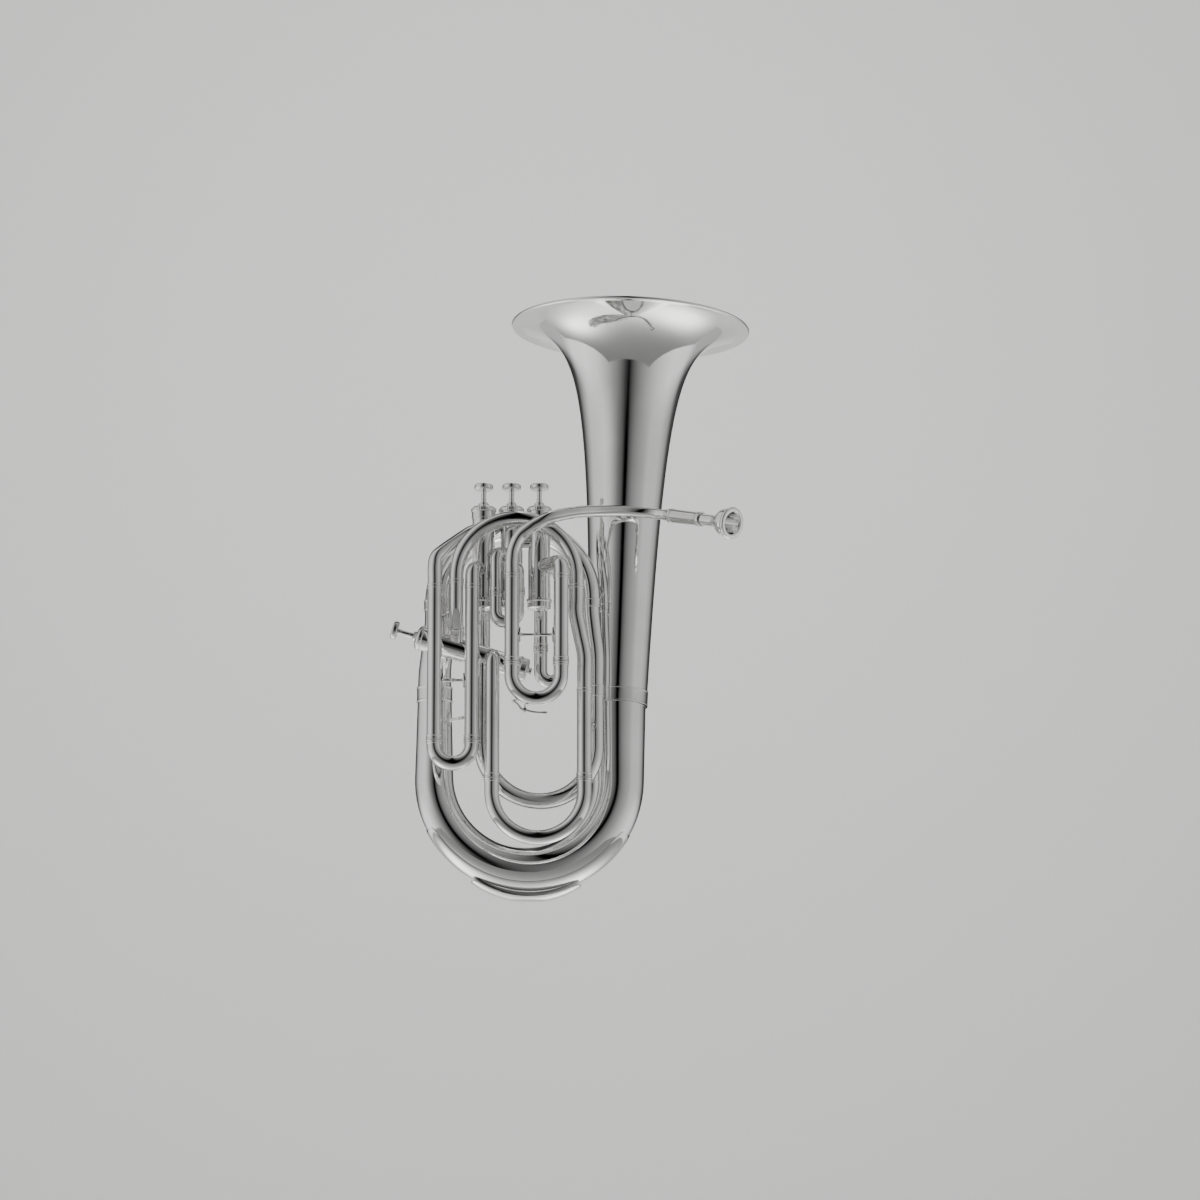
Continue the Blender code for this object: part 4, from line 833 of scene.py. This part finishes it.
def build_valves():
    """Four valves and the links between their casings."""
    for number, x in enumerate(VALVE_XS, start=1):
        base = Vector((x, VALVE_Y, VALVE_BASE_Z))
        build_valve(number, base, UP, VALVE_LENGTH, BUTTON_LIFT)
        coil_spring(number)
    build_valve(4, FOURTH_BASE, FOURTH_AXIS, FOURTH_LENGTH, FOURTH_BUTTON_LIFT)

    for number, z in ((1, LINK_1_2_Z), (2, LINK_2_3_Z)):
        a = Vector((VALVE_XS[number - 1], VALVE_Y, z))
        b = Vector((VALVE_XS[number], VALVE_Y, z))
        reach = (b - a).normalized() * CASING_R
        link = tube("link_%d_%d" % (number, number + 1), [a + reach, (a + b) / 2, b - reach],
                    [LINK_R] * 3, WALL, 44, (a, UP), (b, UP))
        finish_piece(link, CASING, FITTING, ("valve_link_%d_%d" % (number, number + 1),))

    x = VALVE_XS[0]
    back_y = VALVE_Y + 25.0 * MM
    bend = 10.5 * MM
    high = Vector((x, back_y, LINK_1_2_Z))
    low = Vector((x, back_y, fourth_axis_z(x)))
    path = [Vector((x, VALVE_Y + CASING_R, high.z))]
    path += arc(high - (BACK + UP) * bend, UP, BACK, bend)
    path += arc(low + (UP - BACK) * bend, BACK, -UP, bend)
    path += [Vector((x, VALVE_Y + CASING_R, low.z))]
    link = tube("link_1_4", path, [LINK_R] * len(path), WALL, 44,
                (Vector((x, VALVE_Y, high.z)), UP), (FOURTH_BASE, FOURTH_AXIS))
    finish_piece(link, CASING, TUBE_PLATE, ("valve_link_1_4",))


def coil_spring(number):
    """Coil spring under a piston; the CAD node changes length, so it stays and takes a wire finish."""
    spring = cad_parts["valve_spring_%d" % number]
    for slot in spring.material_slots:
        slot.material = SPRING


# ---------------------------------------------------------------- valve tubing

def sleeve(name, path, radius, replaced, start_on=None, mid_rings=()):
    """Outer sleeve with an end ring at its foot and rings where its parts are joined."""
    obj = tube(name, path, [radius] * len(path), WALL, 44, start_on)
    finish_piece(obj, CASING, TUBE_PLATE, (replaced,))
    foot = path[-1]
    ferrule(name + "_end_ring", foot + UP * 3.2 * MM, UP, radius - 0.1 * MM, 6.0 * MM, wall=0.95 * MM)
    for count, z in enumerate(mid_rings):
        ferrule("%s_ring_%d" % (name, count + 1), Vector((foot.x, foot.y, z)), UP, radius - 0.1 * MM,
                5.0 * MM, wall=0.7 * MM)
    if start_on:
        heading = (path[1] - path[0]).normalized()
        collar_at = path[0] + heading * 2.6 * MM
        ferrule(name + "_collar", collar_at, heading, radius - 0.1 * MM, 2.4 * MM, wall=0.6 * MM)


def slide_bow(name, node_name, body, left, right, top_z, drop, insert, radius):
    """Sliding bow: polished inner legs, rings and the bow below them."""
    top_left = Vector((left.x, left.y, top_z - 0.3 * MM))
    top_right = Vector((right.x, right.y, top_z - 0.3 * MM))
    fall = UP * drop
    turn = half_turn(top_left - fall, top_right - fall, (top_right - top_left).length / 2, 48)
    path = [top_left] + turn + [top_right]
    bow = tube(name, path, [radius] * len(path), WALL, 44)
    finish_piece(bow, body, SLIDE_PLATE, (node_name,))
    inner_r = radius - 1.3 * MM
    for side, top in (("left", top_left), ("right", top_right)):
        leg = tube("%s_leg_%s" % (name, side), [top - UP * 4 * MM, top + UP * insert],
                   [inner_r] * 2, WALL, 40)
        finish_piece(leg, body, SLIDE_PLATE)
        ferrule("%s_ring_%s" % (name, side), top - UP * 2.0 * MM, UP, radius - 0.1 * MM, 4.0 * MM, body, (),
                0.95 * MM)


def build_main_slide():
    """Main tuning slide with its sleeves, brace and water key."""
    left = Vector((MAIN_LEFT_X, MAIN_Y, 0.0))
    right = Vector((MAIN_RIGHT_X, MAIN_Y, 0.0))
    sleeve("main_sleeve_l", [left + UP * (MAIN_TOP_Z + 0.3 * MM), left + UP * MAIN_LOW_Z], TUBE_R,
           "main_sleeve_left", None, (MAIN_TOP_Z - 2.5 * MM,))
    target = Vector((VALVE_XS[2], VALVE_Y, 0.0))
    sleeve("main_sleeve_r", elbow(right, MAIN_LOW_Z, target, MAIN_ELBOW_Z, 12.0 * MM), TUBE_R,
           "main_sleeve_right", (target, UP), (MAIN_TOP_Z - 2.5 * MM,))
    slide_bow("main_bow", "main_tuning_slide", "main_slide", left, right, MAIN_LOW_Z, MAIN_BOW_DROP,
              MAIN_INSERT, TUBE_R)
    brace("main_brace", left + UP * MAIN_BRACE_Z, right + UP * MAIN_BRACE_Z, TUBE_R, TUBE_R, UP, CASING,
          ("main_sleeve_brace",))


def build_first_slide():
    """First valve slide with its sleeves and brace."""
    left = Vector((FIRST_LEFT_X, FIRST_Y, 0.0))
    right = Vector((FIRST_RIGHT_X, FIRST_Y, 0.0))
    target = Vector((VALVE_XS[0], VALVE_Y, 0.0))
    path = smooth([left + UP * FIRST_LEAD_Z] + FIRST_LEFT_ROUTE)[::-1] + [left + UP * FIRST_LOW_Z]
    sleeve("first_sleeve_l", path, TUBE_R, "first_sleeve_left", (target, UP), (FIRST_RING_Z,))
    sleeve("first_sleeve_r", elbow(right, FIRST_LOW_Z, target, FIRST_ELBOW_Z, 11.0 * MM), TUBE_R,
           "first_sleeve_right", (target, UP), (FIRST_RING_Z,))
    slide_bow("first_bow", "first_valve_slide", "first_slide", left, right, FIRST_LOW_Z, FIRST_BOW_DROP,
              FIRST_INSERT, TUBE_R)
    brace("first_brace", left + UP * FIRST_BRACE_Z, right + UP * FIRST_BRACE_Z, TUBE_R, TUBE_R, UP)


def build_second_slide():
    """Second valve slide, a short one in front of its valve."""
    target = Vector((VALVE_XS[1], VALVE_Y, 0.0))
    for side, leg, height in (("left", SECOND_LEFT, SECOND_LEFT_ELBOW_Z),
                              ("right", SECOND_RIGHT, SECOND_RIGHT_ELBOW_Z)):
        sleeve("second_sleeve_" + side[0], elbow(leg, SECOND_LOW_Z, target, height, 9.0 * MM),
               SECOND_TUBE_R, "second_sleeve_" + side, (target, UP))
    slide_bow("second_bow", "second_valve_slide", "second_slide", SECOND_LEFT, SECOND_RIGHT, SECOND_LOW_Z,
              SECOND_BOW_DROP, SECOND_INSERT, SECOND_TUBE_R)


def build_third_slide():
    """Third valve slide, behind its valve."""
    target = Vector((VALVE_XS[2], VALVE_Y, 0.0))
    for side, leg, height, bend in (("left", THIRD_LEFT, THIRD_LEFT_ELBOW_Z, 9.5 * MM),
                                    ("right", THIRD_RIGHT, THIRD_RIGHT_ELBOW_Z, 14.0 * MM)):
        sleeve("third_sleeve_" + side[0], elbow(leg, THIRD_LOW_Z, target, height, bend), THIRD_TUBE_R,
               "third_sleeve_" + side, (target, UP))
    slide_bow("third_bow", "third_valve_slide", "third_slide", THIRD_LEFT, THIRD_RIGHT, THIRD_LOW_Z,
              THIRD_BOW_DROP, THIRD_INSERT, THIRD_TUBE_R)


def build_fourth_loop():
    """Fourth valve loop: arch over the valves, and the long slide inside the bottom bow."""
    bend = 11.0 * MM
    on_fourth = (FOURTH_BASE, FOURTH_AXIS)
    left_z = fourth_axis_z(LOOP_LEFT_X)
    left = Vector((LOOP_LEFT_X, LOOP_Y, 0.0))
    right = Vector((LOOP_ARCH_RIGHT_X, LOOP_Y, 0.0))
    rise = left + UP * (left_z + LOOP_ENTRY_RISE)
    port = Vector((LOOP_LEFT_X, VALVE_Y, left_z))
    port += (rise - port).normalized() * CASING_R
    path = smooth([port, port.lerp(rise, 0.6), rise + UP * 6 * MM, left + UP * LOOP_ARCH_CENTRE_Z], 12)[:-1]
    reach = (right.x - left.x) / 2
    path += half_turn(left + UP * LOOP_ARCH_CENTRE_Z, right + UP * LOOP_ARCH_CENTRE_Z, -reach, 64)
    low = Vector((LOOP_SLIDE_RIGHT_X, LOOP_Y, 0.0))
    jog_top = right + UP * LOOP_JOG_TOP_Z
    jog_low = low + UP * LOOP_JOG_LOW_Z
    path += smooth([right + UP * 350 * MM, jog_top + UP * 6 * MM, jog_top.lerp(jog_low, 0.5),
                    jog_low - UP * 6 * MM, low + UP * 260 * MM], 10)
    path += [low + UP * LOOP_LOW_Z]
    sleeve("loop_arch", path, TUBE_R, "fourth_loop_arch", on_fourth, (240.0 * MM,))
    heading = (rise - port).normalized()
    ferrule("loop_arch_entry_ring", port + heading * 9.0 * MM, heading, TUBE_R - 0.1 * MM, 9.0 * MM,
            wall=1.1 * MM)
    for side, leg in (("left", left), ("right", right)):
        ferrule("loop_arch_ring_" + side, leg + UP * LOOP_RING_ZS[side], UP, TUBE_R - 0.1 * MM, 5.0 * MM,
                wall=0.7 * MM)

    slide_left = Vector((LOOP_SLIDE_LEFT_X, LOOP_Y, 0.0))
    target = Vector((LOOP_SLIDE_LEFT_X, VALVE_Y, 0.0))
    sleeve("loop_sleeve_l", elbow(slide_left, LOOP_LOW_Z, target, fourth_axis_z(LOOP_SLIDE_LEFT_X), bend),
           TUBE_R, "fourth_sleeve_left", on_fourth)
    slide_bow("loop_bow", "fourth_valve_slide", "fourth_slide", slide_left, low, LOOP_LOW_Z, LOOP_BOW_DROP,
              LOOP_INSERT, TUBE_R)


# ---------------------------------------------------------------- mouthpipe

def build_mouthpipe():
    """Leadpipe, receiver and mouthpiece."""
    path = smooth(LEADPIPE_ROUTE, 12)
    pipe = tube("leadpipe_body", path, taper(path, ((0.0, TUBE_R - 0.2 * MM), (0.12, LEADPIPE_LOW_R),
                                                    (1.0, LEADPIPE_TOP_R))), WALL, 48)
    finish_piece(pipe, CASING, TUBE_PLATE, ("leadpipe",))

    length = RECEIVER_LENGTH
    start = RECEIVER_START + MOUTH_AXIS * 0.3 * MM
    outline = [(RECEIVER_R + 0.9 * MM, length), (RECEIVER_R + 0.9 * MM, length - 4.6 * MM),
               (RECEIVER_R, length - 6.0 * MM), (RECEIVER_R, 12.0 * MM),
               (RECEIVER_R + 0.6 * MM, 11.0 * MM), (RECEIVER_R + 0.6 * MM, 8.0 * MM),
               (LEADPIPE_TOP_R + 1.4 * MM, 5.0 * MM), (LEADPIPE_TOP_R + 0.8 * MM, 0.0),
               (LEADPIPE_TOP_R - 0.6 * MM, 0.0), (LEADPIPE_TOP_R - 0.6 * MM, 19.0 * MM),
               (SHANK_R + 0.3 * MM, 20.0 * MM), (SHANK_R + 0.96 * MM, length)]
    finish_piece(turned("receiver_body", bevelled(outline, 0.6 * MM), start, MOUTH_AXIS), CASING, FITTING,
                 ("receiver",))

    top = MOUTHPIECE_TOP
    rim = MOUTHPIECE_RIM_R
    outline = [(rim - 6.0 * MM, top - 0.7 * MM), (rim - 4.6 * MM, top), (rim - 1.8 * MM, top),
               (rim - 0.4 * MM, top - 1.0 * MM), (rim, top - 3.0 * MM), (rim - 0.7 * MM, top - 4.6 * MM),
               (rim - 2.3 * MM, top - 6.0 * MM), (rim - 2.0 * MM, top - 9.5 * MM),
               (rim - 2.7 * MM, top - 14.0 * MM), (rim - 4.7 * MM, top - 18.2 * MM),
               (rim - 8.0 * MM, top - 22.2 * MM), (rim - 10.8 * MM, top - 25.4 * MM),
               (8.0 * MM, top - 27.0 * MM), (7.2 * MM, top - 30.0 * MM), (7.1 * MM, top - 36.0 * MM),
               (6.9 * MM, 4.0 * MM), (SHANK_R, -SHANK_INSERT), (SHANK_R - 1.0 * MM, -SHANK_INSERT),
               (3.4 * MM, top - 26.0 * MM), (4.2 * MM, top - 22.5 * MM), (7.2 * MM, top - 18.5 * MM),
               (10.4 * MM, top - 13.0 * MM), (12.2 * MM, top - 7.0 * MM), (12.8 * MM, top - 2.6 * MM)]
    origin = RECEIVER_START + MOUTH_AXIS * (0.3 * MM + length)
    finish_piece(turned("mouthpiece_body", bevelled(outline, 1.2 * MM, 4), origin, MOUTH_AXIS, True, 96),
                 "mouthpiece", PLATE, ("mouthpiece",))


# ---------------------------------------------------------------- braces and water key

def bell_axis_point(z):
    """Point on the bell's axis at a height."""
    rise = z - BELL_BASE.z
    return BELL_BASE + Vector((rise * math.tan(BELL_LEAN), 0.0, rise))


def build_braces():
    """Leadpipe brace, and the braces between the branches and the valve tubing."""
    z = 456.0 * MM
    middle = bell_axis_point(z)
    route = smooth(LEADPIPE_ROUTE, 24)
    pipe = min(route, key=lambda point: abs(point.x - middle.x))
    bell_r = bell_radius(BELL_LENGTH - (z - BELL_BASE.z))
    brace("bell_leadpipe_brace", middle, pipe, bell_r, 6.6 * MM, Vector((1.0, 0.0, 0.0)), CASING,
          ("leadpipe_brace",), 2.6 * MM)

    branch = Vector((76.7, -24.6, 372.0)) * MM
    middle = bell_axis_point(branch.z)
    brace("bell_branch_brace", middle, branch, bell_radius(BELL_LENGTH - (branch.z - BELL_BASE.z)),
          11.8 * MM, UP)

    brace("loop_branch_brace", Vector((LOOP_LEFT_X, LOOP_Y, 340.0 * MM)), Vector((-105.0, -10.2, 340.0)) * MM,
          TUBE_R, 18.2 * MM, UP)
    brace("inner_bow_brace_right", Vector((LOOP_SLIDE_RIGHT_X, LOOP_Y, 205.0 * MM)),
          Vector((RIGHT_BRANCH_X, TOP_BOW_RIGHT_Y, 205.0 * MM)), TUBE_R, INNER_BOW_TUBE_R, UP)
    brace("inner_bow_brace_left", Vector((INNER_BOW_LEFT_X, VALVE_Y, 214.0 * MM)),
          Vector((-BOW_RADIUS, BOW_CENTRE_Y - BOW_SKEW_Y, 214.0 * MM)), INNER_BOW_TUBE_R, 20.7 * MM, UP)


def build_water_key():
    """Water key: lever with a cork pad, saddle lugs, pivot screw and a coil spring."""
    outside = (MAIN_RIGHT_X - MAIN_LEFT_X) / 2 + TUBE_R
    inner_edge = KEY_PAD_X + KEY_PAD_R - (MAIN_LEFT_X + MAIN_RIGHT_X) / 2
    pad_z = MAIN_LOW_Z - MAIN_BOW_DROP - math.sqrt(outside ** 2 - inner_edge ** 2) - 0.6 * MM
    route = [Vector((x, MAIN_Y, z)) for x, z in (
        (KEY_PAD_X - 0.6 * MM, pad_z - 3.1 * MM), (KEY_PAD_X + 3.0 * MM, pad_z - 3.9 * MM),
        (KEY_HINGE_X - 4.0 * MM, KEY_LEVER_Z + 0.9 * MM), (KEY_HINGE_X, KEY_LEVER_Z),
        (KEY_HINGE_X + 6.0 * MM, KEY_LEVER_Z - 1.8 * MM), (KEY_HINGE_X + 13.0 * MM, KEY_LEVER_Z - 3.0 * MM),
        (KEY_END_X - 2.0 * MM, KEY_LEVER_Z - 3.6 * MM))]
    path = smooth(route, 8)
    lever = rounded_rod("key_lever", path, taper(path, ((0.0, 1.1 * MM), (0.3, 1.5 * MM), (0.8, 1.2 * MM),
                                                        (0.95, 1.9 * MM), (1.0, 1.2 * MM))))
    finish_piece(lever, "key", FITTING, ("water_key",))
    cup = [(3.0 * MM, 0.0), (3.2 * MM, -0.8 * MM), (2.9 * MM, -2.6 * MM), (1.2 * MM, -3.6 * MM),
           (0.0, -3.6 * MM)]
    top = Vector((KEY_PAD_X, MAIN_Y, pad_z))
    finish_piece(turned("key_cup", [(0.0, -0.6 * MM), (2.5 * MM, -0.6 * MM), (2.6 * MM, 0.0)]
                        + bevelled(cup, 0.3 * MM, 3, False), top, UP, False, 32),
                 "key", FITTING)
    pad = [(0.0, 0.3 * MM), (2.3 * MM, 0.3 * MM), (2.45 * MM, -0.5 * MM), (0.0, -0.5 * MM)]
    finish_piece(turned("key_cork", pad, top, UP, False, 28), "key", CORK)
    pivot = [(0.0, 4.6 * MM), (1.7 * MM, 4.6 * MM), (1.7 * MM, 3.6 * MM), (0.9 * MM, 3.5 * MM),
             (0.9 * MM, -4.2 * MM), (0.0, -4.2 * MM)]
    hinge = Vector((KEY_HINGE_X, MAIN_Y, KEY_LEVER_Z))
    finish_piece(turned("key_pivot_screw", bevelled(pivot, 0.3 * MM, 3, False), hinge, -BACK, False, 28),
                 "main_slide", FITTING)
    for side, reach in (("front", -2.7 * MM), ("back", 2.7 * MM)):
        lug = [(2.4 * MM, 0.7 * MM), (2.4 * MM, -0.7 * MM), (1.0 * MM, -0.7 * MM), (1.0 * MM, 0.7 * MM)]
        at = hinge + BACK * reach
        finish_piece(turned("key_lug_" + side, bevelled(lug, 0.2 * MM), at, BACK, True, 32), "main_slide",
                     FITTING)
        post = [at + UP * 1.6 * MM, at + UP * 3.4 * MM, at + UP * 5.6 * MM]
        finish_piece(rounded_rod("key_post_" + side, post, [1.0 * MM, 0.9 * MM, 1.2 * MM], 16),
                     "main_slide", FITTING)
    turns = 3
    coil = []
    for i in range(turns * 20 + 1):
        angle = 2 * math.pi * i / 20
        coil.append(hinge + Vector((1.75 * MM * math.cos(angle), (i / (turns * 20) - 0.5) * 2.6 * MM,
                                    1.75 * MM * math.sin(angle))))
    finish_piece(rounded_rod("key_spring", coil, [0.25 * MM] * len(coil), 10), "key", SPRING)


# ---------------------------------------------------------------- stage

ABOVE_LEVELS = (
    (-180, 0.1), (-160, 0.03), (-142, 0.05), (-124, 0.3), (-104, 0.66), (-60, 0.78), (-46, 0.62), (-34, 0.36),
    (-22, 0.17), (-9, 0.07), (-5, 0.01), (-3, 0.0), (3, 0.0), (5, 0.05), (9, 0.1), (18, 0.19), (35, 0.3),
    (50, 0.38), (64, 0.54), (98, 0.56), (120, 0.36), (138, 0.07), (160, 0.03), (180, 0.1))
BELOW_LEVELS = (
    (-180, 0.4), (-140, 0.45), (-125, 0.9), (-95, 1.0), (-70, 0.8), (-35, 0.3), (-8, 0.05), (0, 0.0),
    (8, 0.08), (35, 0.3), (65, 0.6), (95, 0.85), (125, 0.8), (140, 0.4), (180, 0.4))


def azimuth_ramp(tree, unit, levels):
    """Ramp of grey levels round the horizon, from (degrees, level) pairs."""
    made = node(tree, "ShaderNodeValToRGB")
    ramp = made.color_ramp
    while len(ramp.elements) < len(levels):
        ramp.elements.new(0.5)
    for element, (angle, level) in zip(ramp.elements, levels):
        element.position = (angle + 180) / 360
        element.color = (level, level, level, 1.0)
    tree.links.new(unit.outputs["Result"], made.inputs["Fac"])
    return made


def emission_world():
    """Soft studio light: a bright side, a greyer side and a narrow dark gap towards the player."""
    world = bpy.data.worlds.new("studio")
    bpy.context.scene.world = world
    world.use_nodes = True
    tree = world.node_tree
    background = tree.nodes["Background"]
    direction = node(tree, "ShaderNodeTexCoord")
    parts = node(tree, "ShaderNodeSeparateXYZ")
    tree.links.new(direction.outputs["Generated"], parts.inputs["Vector"])
    forward = node(tree, "ShaderNodeMath", operation="MULTIPLY")
    forward.inputs[1].default_value = -1.0
    tree.links.new(parts.outputs["Y"], forward.inputs[0])
    azimuth = node(tree, "ShaderNodeMath", operation="ARCTAN2")
    tree.links.new(parts.outputs["X"], azimuth.inputs[0])
    tree.links.new(forward.outputs["Value"], azimuth.inputs[1])
    unit = node(tree, "ShaderNodeMapRange")
    unit.inputs["From Min"].default_value = -math.pi
    unit.inputs["From Max"].default_value = math.pi
    tree.links.new(azimuth.outputs["Value"], unit.inputs["Value"])
    above = azimuth_ramp(tree, unit, ABOVE_LEVELS)
    below = azimuth_ramp(tree, unit, BELOW_LEVELS)
    share = node(tree, "ShaderNodeMapRange")
    share.inputs["From Min"].default_value = -0.15
    share.inputs["From Max"].default_value = 0.05
    tree.links.new(parts.outputs["Z"], share.inputs["Value"])
    sides = node(tree, "ShaderNodeMixRGB")
    tree.links.new(share.outputs["Result"], sides.inputs["Fac"])
    tree.links.new(below.outputs["Color"], sides.inputs["Color1"])
    tree.links.new(above.outputs["Color"], sides.inputs["Color2"])
    heights = node(tree, "ShaderNodeMapRange")
    heights.inputs["From Min"].default_value = -1.0
    heights.inputs["From Max"].default_value = 1.0
    heights.inputs["To Min"].default_value = 1.25
    heights.inputs["To Max"].default_value = 0.8
    tree.links.new(parts.outputs["Z"], heights.inputs["Value"])
    strength = node(tree, "ShaderNodeMath", operation="MULTIPLY")
    strength.inputs[1].default_value = 1.15
    tree.links.new(heights.outputs["Result"], strength.inputs[0])
    tree.links.new(sides.outputs["Color"], background.inputs["Color"])
    tree.links.new(strength.outputs["Value"], background.inputs["Strength"])
    plain = node(tree, "ShaderNodeBackground")
    plain.inputs["Color"].default_value = (0.6, 0.6, 0.595, 1.0)
    seen = node(tree, "ShaderNodeLightPath")
    either = node(tree, "ShaderNodeMixShader")
    tree.links.new(seen.outputs["Is Camera Ray"], either.inputs["Fac"])
    tree.links.new(background.outputs["Background"], either.inputs[1])
    tree.links.new(plain.outputs["Background"], either.inputs[2])
    tree.links.new(either.outputs["Shader"], tree.nodes["World Output"].inputs["Surface"])


def area_light(name, place, target, width, height, power):
    """Large soft light aimed at the instrument."""
    data = bpy.data.lights.new(name, "AREA")
    data.shape = "RECTANGLE"
    data.size = width
    data.size_y = height
    data.energy = power
    lamp = bpy.data.objects.new(name, data)
    bpy.context.scene.collection.objects.link(lamp)
    lamp.location = place
    lamp.rotation_euler = (target - Vector(place)).to_track_quat("-Z", "Y").to_euler()


def build_stage():
    """Pale floor well below the instrument, since it is seen from below, a pale wall, and the lights."""
    wall_y = 4.0
    curve_r = 1.4
    steps = 24
    rows = [(-5.0, FLOOR_Z)]
    for i in range(steps + 1):
        angle = 0.5 * math.pi * i / steps
        rows.append((wall_y + curve_r * math.sin(angle), FLOOR_Z + curve_r * (1 - math.cos(angle))))
    rows.append((wall_y + curve_r, 6.0))
    verts = []
    for y, z in rows:
        half = 4.5 if z < FLOOR_Z + 0.01 else 1.65
        verts += [(-half, y, z), (half, y, z)]
    faces = [(i, i + 1, i + 3, i + 2) for i in range(0, len(verts) - 2, 2)]
    floor = mesh_object("studio_floor", verts, faces, 60.0)
    material = bpy.data.materials.new("pale_floor")
    material.use_nodes = True
    shader = material.node_tree.nodes["Principled BSDF"]
    shader.inputs["Base Color"].default_value = (0.64, 0.64, 0.632, 1.0)
    shader.inputs["Roughness"].default_value = 0.9
    floor.data.materials.append(material)
    area_light("wall_light", (0.0, 1.4, 2.6), Vector((0.0, wall_y + curve_r, 1.3)), 2.4, 0.8, 185.0)
    area_light("floor_light_left", (-1.85, 1.0, FLOOR_Z + 1.3), Vector((-1.85, 1.0, FLOOR_Z)), 0.7, 2.0, 95.0)
    area_light("floor_light_right", (1.0, 1.5, FLOOR_Z + 1.1), Vector((1.0, 1.5, FLOOR_Z)), 0.5, 2.0, 70.0)


def build_camera():
    """Camera below the instrument, on the player's side, far off to keep upright tubes near parallel."""
    elevation = math.radians(-12.5)
    distance = 7.0
    frame_width = 1.44
    target = Vector((0.0882, 0.0, 0.3642))
    heading = Vector((0.0, -math.cos(elevation), math.sin(elevation)))
    data = bpy.data.cameras.new("camera")
    data.sensor_width = 36.0
    data.lens = data.sensor_width * distance / frame_width
    camera = bpy.data.objects.new("camera", data)
    bpy.context.scene.collection.objects.link(camera)
    camera.location = target + heading * distance
    camera.rotation_euler = (-heading).to_track_quat("-Z", "Y").to_euler()
    bpy.context.scene.camera = camera


build_bell()
build_bottom_bow()
build_guards()
build_branches()
build_valves()
build_main_slide()
build_first_slide()
build_second_slide()
build_third_slide()
build_fourth_loop()
build_mouthpipe()
build_braces()
build_water_key()
emission_world()
build_stage()
build_camera()
